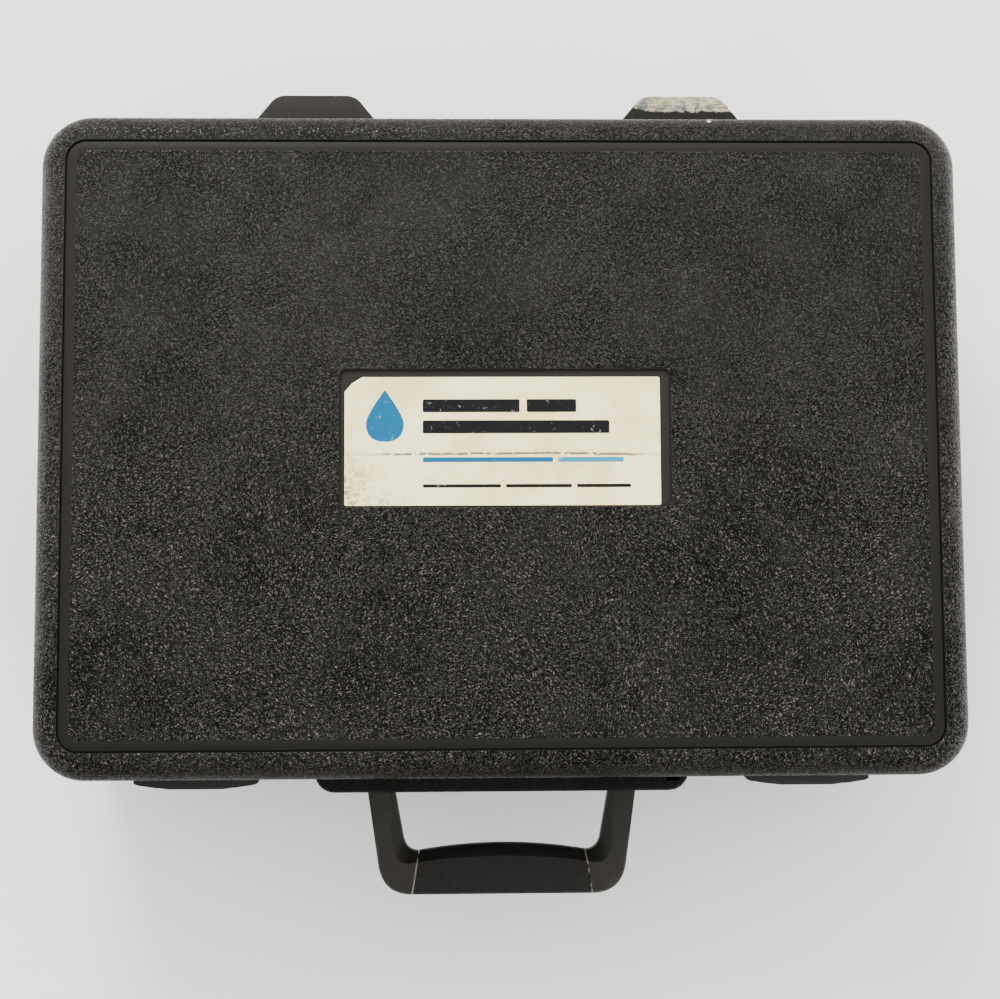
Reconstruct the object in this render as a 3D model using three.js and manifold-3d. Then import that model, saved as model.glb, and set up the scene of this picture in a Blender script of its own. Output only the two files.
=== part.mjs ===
// Water test kit in a moulded carrying case, in millimetres, +Z up.
// The case lies on its back face: hinges and feet at +Y, handle and latches at -Y, lid on top.
// The origin is the centre of the underside.
import * as THREE from "three";
import { mergeVertices } from "three/addons/utils/BufferGeometryUtils.js";
import Module from "manifold-3d";

const wasm = await Module();
wasm.setup();

// ---------- driving dimensions ----------
const CASE_WIDTH = 397; // at the parting plane
const CASE_DEPTH = 285.4;
const BASE_HEIGHT = 80;
const LID_HEIGHT = 40;
const WALL = 3;
const CORNER_R = 23; // plan radius of the outer corners at the parting plane
const DRAFT = Math.tan(THREE.MathUtils.degToRad(1.5));
const LID_EDGE_R = 11; // rounding between the lid's top and its walls
const BASE_EDGE_R = 10;
const PART_GAP = 0.4; // between the two shells when shut
const CLEAR = 0.3; // running and resting clearance

const PARTING_Z = BASE_HEIGHT;
const TOP_Z = BASE_HEIGHT + LID_HEIGHT;
const HALF_W = CASE_WIDTH / 2;
const HALF_D = CASE_DEPTH / 2;

// Lid top: a sunk strip runs round a grained panel, and the label sits in its own recess.
const PANEL_W = 371;
const PANEL_D = 259;
const PANEL_R = 9;
const STRIP = 4;
const PANEL_Z = TOP_Z - 0.5;
const STRIP_Z = TOP_Z - 0.9;
const RECESS = { x: 1.2, y: 1.3, w: 140, d: 58.4, r: 3, z: TOP_Z - 1.8 };
const LABEL = { x: 0, y: 0, w: 133.6, d: 54.6, cut: 7, thick: 0.35 };

// Hinge at the rear, two knuckle groups on one axis.
const HINGE_X = 84;
const HINGE_Y = HALF_D + 4.4;
const KNUCKLE_R = 3.8;
const HINGE_PIN_R = 1.7;
const LID_KNUCKLE = 20;
const BASE_KNUCKLE = 11;
const FOOT = { root: 36, tip: 18.5, reach: 22.4, low: 10, high: 74.5 };

// Latches at the front, hinged low on the base and hooked over a keeper on the lid.
const LATCH_X = 132.2;
const LATCH_W = 53.6;
const LATCH_RECESS_W = 57.6;
const LATCH_PROUD = 2.8; // how far the shut latch stands out of the wall
const LATCH_PIN_HALF = 33;
const LATCH_FLOOR_Y = -(HALF_D - 4.8);
const LATCH_PIN = { y: -(HALF_D - 1.5), z: 61, r: 1.1 };
const LATCH_TOP = 95;
const LATCH_REST = THREE.MathUtils.degToRad(4); // stands just off its hook
const KEEPER = { z0: 86.5, z1: 89, reach: 2.7, w: 38 };

// Handle between two notches of a bar on the base's front wall.
const BAR = { half: 83.6, reach: 9, z0: 54, z1: 78 };
const HANDLE_PIVOT = { y: -(HALF_D + 3.2), z: 64 };
const HANDLE_REACH = 55; // from the case's front wall to the outside of the grip
const HANDLE_PIN_R = 2;
const HANDLE_PIN_X = 53.75;
const LEG = { inner: 48.3, outer: 60.4 };
const LEG_R = 5;
const NOTCH = { x0: 47.1, x1: 61.7, z1: 72.2 };

// Foam and contents.
const PAD_TOP = 13;
const FOAM_Z0 = PAD_TOP + CLEAR;
const FOAM_TOP = 66;
const FOAM_X = 189.5;
const FOAM_REAR_Y = 133.5;
const FOAM_SPLIT_Y = 60;
const FOAM_FRONT_Y = -131.5;
const BAY_X = 62; // half width of the open bay between the front foam blocks
const LID_FOAM_Z0 = 100;
const STAND_Z = FOAM_Z0; // contents stand on the pad

const BOTTLE = { n: 8, pitch: 44, y: 97, cell: 34.8, r: 16.5, shoulder: 42, neck: 52, top: 58, neckR: 9 };
const BOTTLE_CAP = { r: 12, z0: 53, z1: 72, wall: 1.4 };
const TUBE = { xs: [-172, -144, -116, -88], y: 26, cell: 17.6, r: 8, wall: 1.2, length: 70 };
const TUBE_CAP = { r: 9.6, z0: 62, z1: 76 };
const SAMPLE = { x: 150, y: -72, r: 25, shoulder: 46, neck: 54, top: 60, neckR: 14 };
const SAMPLE_CAP = { r: 17.5, z0: 55, z1: 73, wall: 1.8 };
const TITRATOR = { xs: [80, 104], z: 56, r: 4.6, bore: 3.4, y0: -30, y1: 44, stroke: 50 };
const VIEWER = { x: 24, y: 21, yc: -36, z0: 18, z1: 70, hole: 8.7, holeX: 11.5 };
const SLIDE = { x: 5, z: 14, zc: 46, length: 130 };
const TABLET_BOX = { x: -126, y: -52, w: 96, d: 66, h: 34, wall: 2 };
const BOOKLET = { w: 112, d: 176, h: 3.5 };

// ---------- materials ----------
function material(color, roughness, metalness = 0, opacity = 1) {
  return new THREE.MeshStandardMaterial({ color, roughness, metalness, opacity, transparent: opacity < 1 });
}
const SHELL = material(0x393733, 0.62);
const SMOOTH_BLACK = material(0x262523, 0.5);
const STEEL = material(0xb8b8b4, 0.3, 0.9);
const PAPER = material(0xe6e0ce, 0.7);
const FOAM = material(0x3c3f42, 0.95);
const BOTTLE_PLASTIC = material(0xf0efe8, 0.45);
const CAP_WHITE = material(0xe8e8e6, 0.4);
const CAP_BLUE = material(0x1f6fb0, 0.4);
const GLASS = material(0xdfeaec, 0.05, 0, 0.4);
const CLEAR_PLASTIC = material(0xd8e4ea, 0.15, 0, 0.5);
const VIEWER_PLASTIC = material(0x20242a, 0.45);
const SLIDE_PLASTIC = material(0xdad7cf, 0.35);

// ---------- solids ----------
function solid(geometry) {
  const bare = geometry.index ? geometry.toNonIndexed() : geometry.clone();
  bare.deleteAttribute("normal");
  bare.deleteAttribute("uv");
  const merged = mergeVertices(bare, 1e-4);
  return new wasm.Manifold(
    new wasm.Mesh({
      numProp: 3,
      vertProperties: merged.attributes.position.array,
      triVerts: new Uint32Array(merged.index.array),
    }),
  );
}

function geometryOf(made) {
  const mesh = made.getMesh();
  const geometry = new THREE.BufferGeometry();
  geometry.setAttribute("position", new THREE.BufferAttribute(new Float32Array(mesh.vertProperties), 3));
  geometry.setIndex(new THREE.BufferAttribute(new Uint32Array(mesh.triVerts), 1));
  const flat = geometry.toNonIndexed();
  flat.computeVertexNormals();
  return flat;
}

function box(x0, x1, y0, y1, z0, z1) {
  const geometry = new THREE.BoxGeometry(x1 - x0, y1 - y0, z1 - z0);
  geometry.translate((x0 + x1) / 2, (y0 + y1) / 2, (z0 + z1) / 2);
  return solid(geometry);
}

// A cylinder along X, from x0 to x1.
function rod(x0, x1, y, z, r, sides = 16) {
  const geometry = new THREE.CylinderGeometry(r, r, x1 - x0, sides);
  geometry.rotateZ(-Math.PI / 2);
  geometry.translate((x0 + x1) / 2, y, z);
  return solid(geometry);
}

// A cylinder along Z.
function post(x, y, z0, z1, r, sides = 20) {
  const geometry = new THREE.CylinderGeometry(r, r, z1 - z0, sides);
  geometry.rotateX(Math.PI / 2);
  geometry.translate(x, y, (z0 + z1) / 2);
  return solid(geometry);
}

// A round profile of [radius, height] points, turned about Z at (x, y, z).
function turned(profile, x, y, z, sides) {
  const points = profile.map(([r, h]) => new THREE.Vector2(r, h));
  const geometry = new THREE.LatheGeometry(points, sides);
  geometry.rotateX(Math.PI / 2);
  geometry.translate(x, y, z);
  return solid(geometry);
}

function roundedRect(w, d, r) {
  const x = w / 2;
  const y = d / 2;
  const shape = new THREE.Shape();
  shape.moveTo(-x + r, -y);
  shape.lineTo(x - r, -y);
  shape.absarc(x - r, -y + r, r, -Math.PI / 2, 0);
  shape.lineTo(x, y - r);
  shape.absarc(x - r, y - r, r, 0, Math.PI / 2);
  shape.lineTo(-x + r, y);
  shape.absarc(-x + r, y - r, r, Math.PI / 2, Math.PI);
  shape.lineTo(-x, -y + r);
  shape.absarc(-x + r, -y + r, r, Math.PI, 1.5 * Math.PI);
  return shape;
}

function extruded(shape, z0, z1, curveSegments = 5) {
  const geometry = new THREE.ExtrudeGeometry(shape, { depth: z1 - z0, bevelEnabled: false, curveSegments });
  geometry.translate(0, 0, z0);
  return solid(geometry);
}

// A rounded plate about (x, y).
function plate(w, d, r, z0, z1, x = 0, y = 0) {
  return extruded(roundedRect(w, d, r), z0, z1).translate([x, y, 0]);
}

// An extrusion along X of a shape drawn in the Y-Z plane.
function alongX(shape, x0, x1, curveSegments = 6) {
  const geometry = new THREE.ExtrudeGeometry(shape, { depth: x1 - x0, bevelEnabled: false, curveSegments });
  geometry.applyMatrix4(new THREE.Matrix4().set(0, 0, 1, x0, 1, 0, 0, 0, 0, 1, 0, 0, 0, 0, 0, 1));
  return solid(geometry);
}

// A closed loft through rounded rectangles: each level is [z, inset from the parting outline].
const CORNER_STEPS = 6;
function loft(levels) {
  const ring = ([z, inset]) => {
    const r = Math.max(CORNER_R - inset, 2);
    const cx = HALF_W - inset - r;
    const cy = HALF_D - inset - r;
    const points = [];
    for (const [sx, sy, start] of [[1, 1, 0], [-1, 1, 1], [-1, -1, 2], [1, -1, 3]]) {
      for (let i = 0; i <= CORNER_STEPS; i++) {
        const a = ((start + i / CORNER_STEPS) * Math.PI) / 2;
        points.push([sx * cx + r * Math.cos(a), sy * cy + r * Math.sin(a), z]);
      }
    }
    return points;
  };
  const rings = levels.map(ring);
  const n = rings[0].length;
  const positions = [];
  const triangle = (...corners) => corners.forEach((p) => positions.push(...p));
  for (let k = 0; k + 1 < rings.length; k++) {
    for (let i = 0; i < n; i++) {
      const j = (i + 1) % n;
      const [a, b, c, d] = [rings[k][i], rings[k][j], rings[k + 1][j], rings[k + 1][i]];
      triangle(a, b, c);
      triangle(a, c, d);
    }
  }
  const low = [0, 0, levels[0][0]];
  const high = [0, 0, levels.at(-1)[0]];
  for (let i = 0; i < n; i++) {
    const j = (i + 1) % n;
    triangle(low, rings[0][j], rings[0][i]);
    triangle(high, rings.at(-1)[i], rings.at(-1)[j]);
  }
  const geometry = new THREE.BufferGeometry();
  geometry.setAttribute("position", new THREE.BufferAttribute(new Float32Array(positions), 3));
  return solid(geometry);
}

// Levels of a drafted wall that ends in a quarter round of radius r, offset inwards by skin.
// direction is 1 for the lid, which grows upwards, and -1 for the base.
function wallLevels(height, r, skin, direction, start) {
  const steps = 4;
  const straight = height - r;
  const levels = [[start, skin]];
  for (let i = 0; i <= steps; i++) {
    const a = ((i / steps) * Math.PI) / 2;
    const rise = straight + (r - skin) * Math.sin(a);
    const inset = straight * DRAFT + r - (r - skin) * Math.cos(a);
    levels.push([PARTING_Z + direction * rise, inset]);
  }
  return direction > 0 ? levels : levels.reverse();
}

function mirrorX(made) {
  return made.mirror([1, 0, 0]);
}

function bothSides(made) {
  return made.add(mirrorX(made));
}

// ---------- shells ----------
function hingeKnuckle(x0, x1) {
  return rod(x0, x1, HINGE_Y, PARTING_Z, KNUCKLE_R);
}

// Pads behind the latch recesses and handle notches keep the wall at full thickness there.
function innerPad(xc, w, z0, z1, y1) {
  return box(xc - w / 2, xc + w / 2, -(HALF_D - 1.5), y1, z0, z1);
}

function latchRecess(z0, z1) {
  const w = LATCH_RECESS_W / 2;
  return bothSides(box(LATCH_X - w, LATCH_X + w, -HALF_D - 5, LATCH_FLOOR_Y, z0, z1));
}

function makeLidShell() {
  const outer = loft(wallLevels(LID_HEIGHT, LID_EDGE_R, 0, 1, PARTING_Z + PART_GAP));
  const inner = loft(wallLevels(LID_HEIGHT, LID_EDGE_R, WALL, 1, PARTING_Z - 1));
  const padW = LATCH_RECESS_W + 8;
  const pads = bothSides(innerPad(LATCH_X, padW, PARTING_Z + PART_GAP, 101, LATCH_FLOOR_Y + WALL));
  const keeper = bothSides(
    box(
      LATCH_X - KEEPER.w / 2,
      LATCH_X + KEEPER.w / 2,
      LATCH_FLOOR_Y - KEEPER.reach,
      LATCH_FLOOR_Y + 1,
      KEEPER.z0,
      KEEPER.z1,
    ),
  );
  const half = LID_KNUCKLE / 2;
  const knuckle = hingeKnuckle(HINGE_X - half, HINGE_X + half).add(
    box(HINGE_X - half, HINGE_X + half, HALF_D - 2, HINGE_Y, PARTING_Z + PART_GAP, PARTING_Z + KNUCKLE_R),
  );
  const bore = rod(HINGE_X - 30, HINGE_X + 30, HINGE_Y, PARTING_Z, HINGE_PIN_R + CLEAR);
  const sunkPanel = plate(PANEL_W, PANEL_D, PANEL_R, PANEL_Z, TOP_Z + 5);
  const strip = plate(PANEL_W, PANEL_D, PANEL_R, STRIP_Z, TOP_Z).subtract(
    plate(PANEL_W - 2 * STRIP, PANEL_D - 2 * STRIP, PANEL_R - STRIP, STRIP_Z - 1, TOP_Z + 1),
  );
  const labelRecess = plate(RECESS.w, RECESS.d, RECESS.r, RECESS.z, TOP_Z, RECESS.x, RECESS.y);
  return outer
    .subtract(inner)
    .add(pads)
    .subtract(latchRecess(PARTING_Z - 1, 97))
    .add(keeper)
    .add(bothSides(knuckle))
    .subtract(bothSides(bore))
    .subtract(sunkPanel)
    .subtract(strip)
    .subtract(labelRecess);
}

// A lip that stands inside the lid's wall when the case is shut.
function baseLip() {
  const ring = (out, inn, z0, z1) =>
    loft([[z0, out], [z1, out]]).subtract(loft([[z0 - 1, inn], [z1 + 1, inn]]));
  const gap = box(LATCH_X - 36, LATCH_X + 36, -HALF_D, -HALF_D + 10, PARTING_Z, PARTING_Z + 9);
  const lip = ring(WALL + 0.5, WALL + 2, PARTING_Z - 8, PARTING_Z + 3);
  return lip.add(ring(WALL - 1, WALL + 2, PARTING_Z - 8, PARTING_Z)).subtract(bothSides(gap));
}

// The bar that carries the handle, with rounded ends, seen in plan.
function handleBar() {
  const shape = new THREE.Shape();
  const y0 = -(HALF_D - 2);
  const y1 = -(HALF_D + BAR.reach);
  shape.moveTo(-BAR.half, y0);
  shape.lineTo(BAR.half, y0);
  shape.lineTo(BAR.half, -HALF_D);
  shape.quadraticCurveTo(BAR.half - 2, y1, BAR.half - 10, y1);
  shape.lineTo(-BAR.half + 10, y1);
  shape.quadraticCurveTo(-BAR.half + 2, y1, -BAR.half, -HALF_D);
  const notch = box(NOTCH.x0, NOTCH.x1, y1 - 5, HANDLE_PIVOT.y + LEG_R + 0.6, BAR.z0 - 4, NOTCH.z1);
  const bores = rod(41.5, 66, HANDLE_PIVOT.y, HANDLE_PIVOT.z, HANDLE_PIN_R + CLEAR);
  const drain = box(73, 79, -(HALF_D + 4.6), -(HALF_D + 1), BAR.z1 - 5, BAR.z1 + 1);
  return { bar: extruded(shape, BAR.z0, BAR.z1), cuts: bothSides(notch.add(bores)).add(drain) };
}

function makeBaseShell() {
  const outer = loft(wallLevels(BASE_HEIGHT, BASE_EDGE_R, 0, -1, PARTING_Z));
  const inner = loft(wallLevels(BASE_HEIGHT, BASE_EDGE_R, WALL, -1, PARTING_Z + 1));
  const { bar, cuts } = handleBar();
  const pads = bothSides(
    innerPad(LATCH_X, LATCH_RECESS_W + 8, 50, PARTING_Z, LATCH_FLOOR_Y + WALL).add(
      innerPad((NOTCH.x0 + NOTCH.x1) / 2, 22, 46, BAR.z1, -(HALF_D - 5.6)),
    ),
  );
  const inside = LID_KNUCKLE / 2 + CLEAR;
  const lug = (x0, x1) =>
    hingeKnuckle(x0, x1).add(box(x0, x1, HALF_D - 2, HINGE_Y + KNUCKLE_R, FOOT.high - 4, PARTING_Z - 0.2));
  const lugs = lug(HINGE_X - inside - BASE_KNUCKLE, HINGE_X - inside).add(
    lug(HINGE_X + inside, HINGE_X + inside + BASE_KNUCKLE),
  );
  const bore = rod(HINGE_X - 30, HINGE_X + 30, HINGE_Y, PARTING_Z, HINGE_PIN_R + CLEAR);
  const holeHalf = LATCH_PIN_HALF + 0.5;
  const holeR = LATCH_PIN.r + CLEAR;
  const pinHoles = rod(LATCH_X - holeHalf, LATCH_X + holeHalf, LATCH_PIN.y, LATCH_PIN.z, holeR, 12);
  return outer
    .subtract(inner)
    .add(baseLip())
    .add(bar)
    .add(pads)
    .add(bothSides(lugs))
    .subtract(bothSides(bore))
    .subtract(cuts)
    .subtract(latchRecess(56.5, PARTING_Z + 9))
    .subtract(bothSides(pinHoles));
}

// A wedge-shaped foot behind each hinge; the case stands on the two when it is carried upright.
function makeRearFoot(sign) {
  const y0 = HALF_D + CLEAR;
  const y1 = HALF_D + FOOT.reach;
  const shape = new THREE.Shape();
  shape.moveTo(-FOOT.root, y0);
  shape.lineTo(FOOT.root, y0);
  shape.lineTo(FOOT.tip + 2.6, y1 - 4);
  shape.quadraticCurveTo(FOOT.tip, y1, FOOT.tip - 5, y1);
  shape.lineTo(-FOOT.tip + 5, y1);
  shape.quadraticCurveTo(-FOOT.tip, y1, -FOOT.tip - 2.6, y1 - 4);
  const side = new THREE.Shape();
  side.moveTo(y0 - 5, FOOT.low - 2);
  side.lineTo(y1 - 7, FOOT.low + 3);
  side.quadraticCurveTo(y1, FOOT.low + 5, y1, FOOT.low + 13);
  side.lineTo(y1, FOOT.high - 4);
  side.quadraticCurveTo(y1, FOOT.high, y1 - 4, FOOT.high);
  side.lineTo(y0 - 5, FOOT.high);
  const block = extruded(shape, FOOT.low - 4, FOOT.high + 4, 4).intersect(alongX(side, -40, 40, 4));
  const x = sign * HINGE_X;
  const lugGap = box(-23, 23, y0 - 5, HINGE_Y + KNUCKLE_R + CLEAR, FOOT.high - 4.5, FOOT.high + 5);
  return block.subtract(lugGap).translate([x, 0, 0]);
}

// ---------- latches and handle ----------
// Drawn shut, about its pin's axis; the group that holds it is placed and tilted at rest.
function makeLatch() {
  const front = -(HALF_D + LATCH_PROUD) - LATCH_PIN.y;
  const rear = LATCH_FLOOR_Y - 1.2 - LATCH_PIN.y;
  const top = LATCH_TOP - LATCH_PIN.z;
  const half = LATCH_W / 2;
  const plan = new THREE.Shape();
  plan.moveTo(-half, rear);
  plan.lineTo(half, rear);
  plan.lineTo(half, front + 2.8);
  plan.lineTo(half - 1.8, front + 2);
  plan.lineTo(11.5, front);
  plan.lineTo(-11.5, front);
  plan.lineTo(-half + 1.8, front + 2);
  plan.lineTo(-half, front + 2.8);
  const side = new THREE.Shape();
  const r = 2.7;
  side.absarc(0, 0, r, Math.PI, 2 * Math.PI);
  side.lineTo(rear, 4);
  side.lineTo(rear, top);
  side.lineTo(front + 1.2, top);
  side.lineTo(front, top - 1.2);
  side.lineTo(front, 3);
  const keeperPocket = box(
    -KEEPER.w / 2 - 1.5,
    KEEPER.w / 2 + 1.5,
    rear - 2.6,
    rear + 1,
    KEEPER.z0 - LATCH_PIN.z - 5,
    KEEPER.z1 - LATCH_PIN.z + 0.5,
  );
  return extruded(plan, -4, top + 1)
    .intersect(alongX(side, -half - 1, half + 1))
    .subtract(keeperPocket)
    .subtract(rod(-half - 1, half + 1, 0, 0, LATCH_PIN.r + CLEAR, 12));
}

function handleOutline() {
  const out = -(HALF_D + HANDLE_REACH);
  const root = HANDLE_PIVOT.y + LEG_R + 1;
  const shape = new THREE.Shape();
  shape.moveTo(LEG.outer, root);
  shape.lineTo(LEG.outer, -(HALF_D + 8));
  shape.lineTo(LEG.outer - 4.6, out + 14);
  shape.quadraticCurveTo(LEG.outer - 6, out, LEG.outer - 20, out);
  shape.lineTo(-LEG.outer + 20, out);
  shape.quadraticCurveTo(-LEG.outer + 6, out, -LEG.outer + 4.6, out + 14);
  shape.lineTo(-LEG.outer, -(HALF_D + 8));
  shape.lineTo(-LEG.outer, root);
  shape.lineTo(-LEG.inner, root);
  shape.lineTo(-LEG.inner, -(HALF_D + 8));
  shape.lineTo(-LEG.inner + 3.9, out + 26);
  shape.quadraticCurveTo(-LEG.inner + 4.9, out + 18.6, -LEG.inner + 11, out + 18.6);
  shape.quadraticCurveTo(0, out + 25, LEG.inner - 11, out + 18.6);
  shape.quadraticCurveTo(LEG.inner - 4.9, out + 18.6, LEG.inner - 3.9, out + 26);
  shape.lineTo(LEG.inner, -(HALF_D + 8));
  shape.lineTo(LEG.inner, root);
  return shape;
}

// The handle's thickness seen from its end: round at the pivot, full at the grip.
function handleSide() {
  const out = -(HALF_D + HANDLE_REACH);
  const { y, z } = HANDLE_PIVOT;
  const side = new THREE.Shape();
  side.absarc(y, z, LEG_R, -Math.PI / 2, Math.PI / 2);
  side.lineTo(y - 10, z + LEG_R);
  side.lineTo(out + 24, z + 8);
  side.lineTo(out + 6, z + 8);
  side.quadraticCurveTo(out, z + 8, out, z + 2);
  side.lineTo(out, z - 2);
  side.quadraticCurveTo(out, z - 8, out + 6, z - 8);
  side.lineTo(out + 24, z - 8);
  side.lineTo(y - 10, z - LEG_R);
  return side;
}

function makeHandle() {
  const out = -(HALF_D + HANDLE_REACH);
  const z = HANDLE_PIVOT.z;
  const whole = extruded(handleOutline(), z - 12, z + 12).intersect(alongX(handleSide(), -70, 70));
  const sleeveZone = (grow) => {
    const shape = new THREE.Shape();
    shape.moveTo(-41 - grow, out - 5);
    shape.lineTo(41 + grow, out - 5);
    shape.lineTo(35.5 + grow, out + 30);
    shape.lineTo(-35.5 - grow, out + 30);
    return extruded(shape, z - 20, z + 20);
  };
  const core = (grow) => box(-45, 45, out + 5 - grow, out + 14 + grow, z - 3.5 - grow, z + 3.5 + grow);
  const pinBore = rod(-80, 80, HANDLE_PIVOT.y, z, HANDLE_PIN_R + CLEAR);
  return {
    frame: whole.subtract(sleeveZone(CLEAR)).add(core(0)).subtract(pinBore),
    grip: whole.intersect(sleeveZone(0)).subtract(core(CLEAR)),
  };
}

// ---------- foam ----------
function makeLidFoam() {
  return plate(366, 256, 14, LID_FOAM_Z0, TOP_Z - WALL - 2.2);
}

function makeBottomPad() {
  return plate(364, 258, 16, WALL + CLEAR, PAD_TOP);
}

function bottleX(i) {
  return (i - (BOTTLE.n - 1) / 2) * BOTTLE.pitch;
}

// The plan outline every block is trimmed to, so its corners follow the shell's.
function foamOutline() {
  const d = FOAM_REAR_Y - FOAM_FRONT_Y;
  return plate(2 * FOAM_X, d, 21, FOAM_Z0, FOAM_TOP, 0, (FOAM_REAR_Y + FOAM_FRONT_Y) / 2);
}

function makeRearFoam() {
  let block = foamBlock(-FOAM_X - 1, FOAM_X + 1, FOAM_SPLIT_Y, FOAM_REAR_Y + 1);
  for (let i = 0; i < BOTTLE.n; i++) {
    block = block.subtract(cell(bottleX(i), BOTTLE.y, BOTTLE.cell));
  }
  return block;
}

// A block of the layer, between the given sides and inside the outline.
function foamBlock(x0, x1, y0, y1) {
  return foamOutline().intersect(box(x0, x1, y0, y1, FOAM_Z0 - 1, FOAM_TOP + 1));
}

// A square hole right through a block.
function cell(x, y, side) {
  const half = side / 2;
  return box(x - half, x + half, y - half, y + half, FOAM_Z0 - 1, FOAM_TOP + 1);
}

// The tube block is a comb; the tablet block's rear face closes its cells.
const COMB_Y = TUBE.y - TUBE.cell / 2;

function makeTubeFoam() {
  let block = foamBlock(-FOAM_X - 1, -BAY_X, COMB_Y, FOAM_SPLIT_Y - CLEAR);
  for (const x of TUBE.xs) {
    block = block.subtract(cell(x, TUBE.y, TUBE.cell)).subtract(cell(x, COMB_Y, TUBE.cell));
  }
  return block;
}

function makeTabletFoam() {
  const { x, y, w, d } = TABLET_BOX;
  const halfX = w / 2 + 1;
  const halfY = d / 2 + 1;
  const pocket = box(x - halfX, x + halfX, y - halfY, y + halfY, FOAM_TOP - 28, FOAM_TOP + 1);
  return foamBlock(-FOAM_X - 1, -BAY_X, FOAM_FRONT_Y - 1, COMB_Y - CLEAR).subtract(pocket);
}

function makeRightFoam() {
  let block = foamBlock(BAY_X, FOAM_X + 1, FOAM_FRONT_Y - 1, FOAM_SPLIT_Y - CLEAR).subtract(
    post(SAMPLE.x, SAMPLE.y, FOAM_Z0 - 1, FOAM_TOP + 1, SAMPLE.r + 1, 20),
  );
  for (const x of TITRATOR.xs) {
    const y0 = TITRATOR.y0 - TITRATOR.stroke - 26;
    block = block.subtract(box(x - 9, x + 9, y0, TITRATOR.y1 + 12, TITRATOR.z - 9, FOAM_TOP + 1));
  }
  return block;
}

// ---------- contents ----------
function makeBottle(x, y, b, sides) {
  return turned(
    [
      [0, 0],
      [b.r - 1.5, 0],
      [b.r, 1.5],
      [b.r, b.shoulder],
      [b.neckR, b.neck],
      [b.neckR, b.top],
      [0, b.top],
    ],
    x,
    y,
    STAND_Z,
    sides,
  );
}

function makeCap(x, y, c, sides) {
  const bore = c.r - c.wall;
  return turned(
    [
      [bore, c.z0],
      [c.r, c.z0],
      [c.r - 0.6, c.z1 - 1],
      [c.r - 1.6, c.z1],
      [0, c.z1],
      [0, c.inside],
      [bore, c.inside],
      [bore, c.z0],
    ],
    x,
    y,
    STAND_Z,
    sides,
  );
}

function makeTube(x) {
  const r = TUBE.r;
  const bore = r - TUBE.wall;
  const floor = 1.8;
  return turned(
    [
      [0, 0],
      [r, 0],
      [r, TUBE.length],
      [bore, TUBE.length],
      [bore, floor],
      [0, floor],
    ],
    x,
    TUBE.y,
    STAND_Z,
    8,
  );
}

function makeTitratorBarrel(x) {
  const { r, bore, z, y0, y1 } = TITRATOR;
  const length = y1 - y0;
  const profile = [
    [bore, 0],
    [r + 3, 0],
    [r + 3, 1.8],
    [r, 1.8],
    [r, length - 6],
    [1.4, length],
    [1.4, length + 8],
    [0.7, length + 8],
    [0.7, length - 7],
    [bore, length - 9],
    [bore, 0],
  ];
  return lyingAlongY(profile, x, y0, z);
}

function makeTitratorPlunger(x) {
  const { bore, z, y0, y1 } = TITRATOR;
  const r = bore - CLEAR;
  const start = y0 - 18;
  const end = y1 - 10.5 - start;
  const profile = [
    [0, 0],
    [6, 0],
    [6, 2],
    [1.8, 2],
    [1.8, end - 10],
    [r, end - 10],
    [r, end],
    [0, end],
  ];
  return lyingAlongY(profile, x, start, z);
}

function lyingAlongY(profile, x, y, z) {
  const geometry = new THREE.LatheGeometry(
    profile.map(([r, h]) => new THREE.Vector2(r, h)),
    12,
  );
  geometry.translate(x, y, z);
  return solid(geometry);
}

function makeViewer() {
  const { x, y, yc, z0, z1, hole, holeX } = VIEWER;
  const body = plate(2 * x, 2 * y, 4, z0, z1, 0, yc);
  const slot = box(-SLIDE.x - 0.5, SLIDE.x + 0.5, yc - y - 1, yc + y + 1, SLIDE.zc - SLIDE.z - 0.5, z1 + 1);
  const holes = bothSides(post(holeX + 3.5, yc, z0 + 4, z1 + 1, hole - 1.2, 16));
  const windows = bothSides(box(holeX, holeX + 7, yc - y - 1, yc + y + 1, z0 + 12, z0 + 34));
  return body.subtract(slot).subtract(holes).subtract(windows);
}

function makeColorSlide() {
  const { x, z, zc, length } = SLIDE;
  const bar = box(-x + 0.2, x - 0.2, VIEWER.yc - length / 2, VIEWER.yc + length / 2, zc - z + 0.1, zc + z);
  const step = length / 8;
  let made = bar;
  for (let i = 0; i < 8; i++) {
    const y = VIEWER.yc + (i - 3.5) * step;
    made = made.subtract(box(-x - 1, x + 1, y - 4, y + 4, zc - 6, zc + 6));
  }
  return made;
}

function makeTabletBox() {
  const { x, y, w, d, h, wall } = TABLET_BOX;
  const z0 = FOAM_TOP - 28 + CLEAR;
  const base = plate(w, d, 3, z0, z0 + h - 8, x, y).subtract(
    plate(w - 2 * wall, d - 2 * wall, 2, z0 + wall, z0 + h, x, y),
  );
  const lid = plate(w, d, 3, z0 + h - 8 + CLEAR, z0 + h, x, y).subtract(
    plate(w - 2 * wall, d - 2 * wall, 2, z0 + h - 9, z0 + h - wall, x, y),
  );
  return { base, lid };
}

function makeLabel() {
  const x = LABEL.w / 2;
  const y = LABEL.d / 2;
  const shape = new THREE.Shape();
  shape.moveTo(-x, -y);
  shape.lineTo(x, -y);
  shape.lineTo(x, y);
  shape.lineTo(-x + LABEL.cut, y);
  shape.lineTo(-x, y - LABEL.cut);
  const z0 = RECESS.z + CLEAR;
  return extruded(shape, z0, z0 + LABEL.thick).translate([LABEL.x, LABEL.y, 0]);
}

// ---------- assembly ----------
const kit = new THREE.Group();
kit.name = "water_test_kit";

function place(name, made, look, parent = kit) {
  const mesh = new THREE.Mesh(geometryOf(made), look);
  mesh.name = name;
  parent.add(mesh);
  return mesh;
}

const SIDES = [["left", -1], ["right", 1]];

place("base_shell", makeBaseShell(), SHELL);
place("lid_shell", makeLidShell(), SHELL);
place("label_plate", makeLabel(), PAPER);

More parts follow.
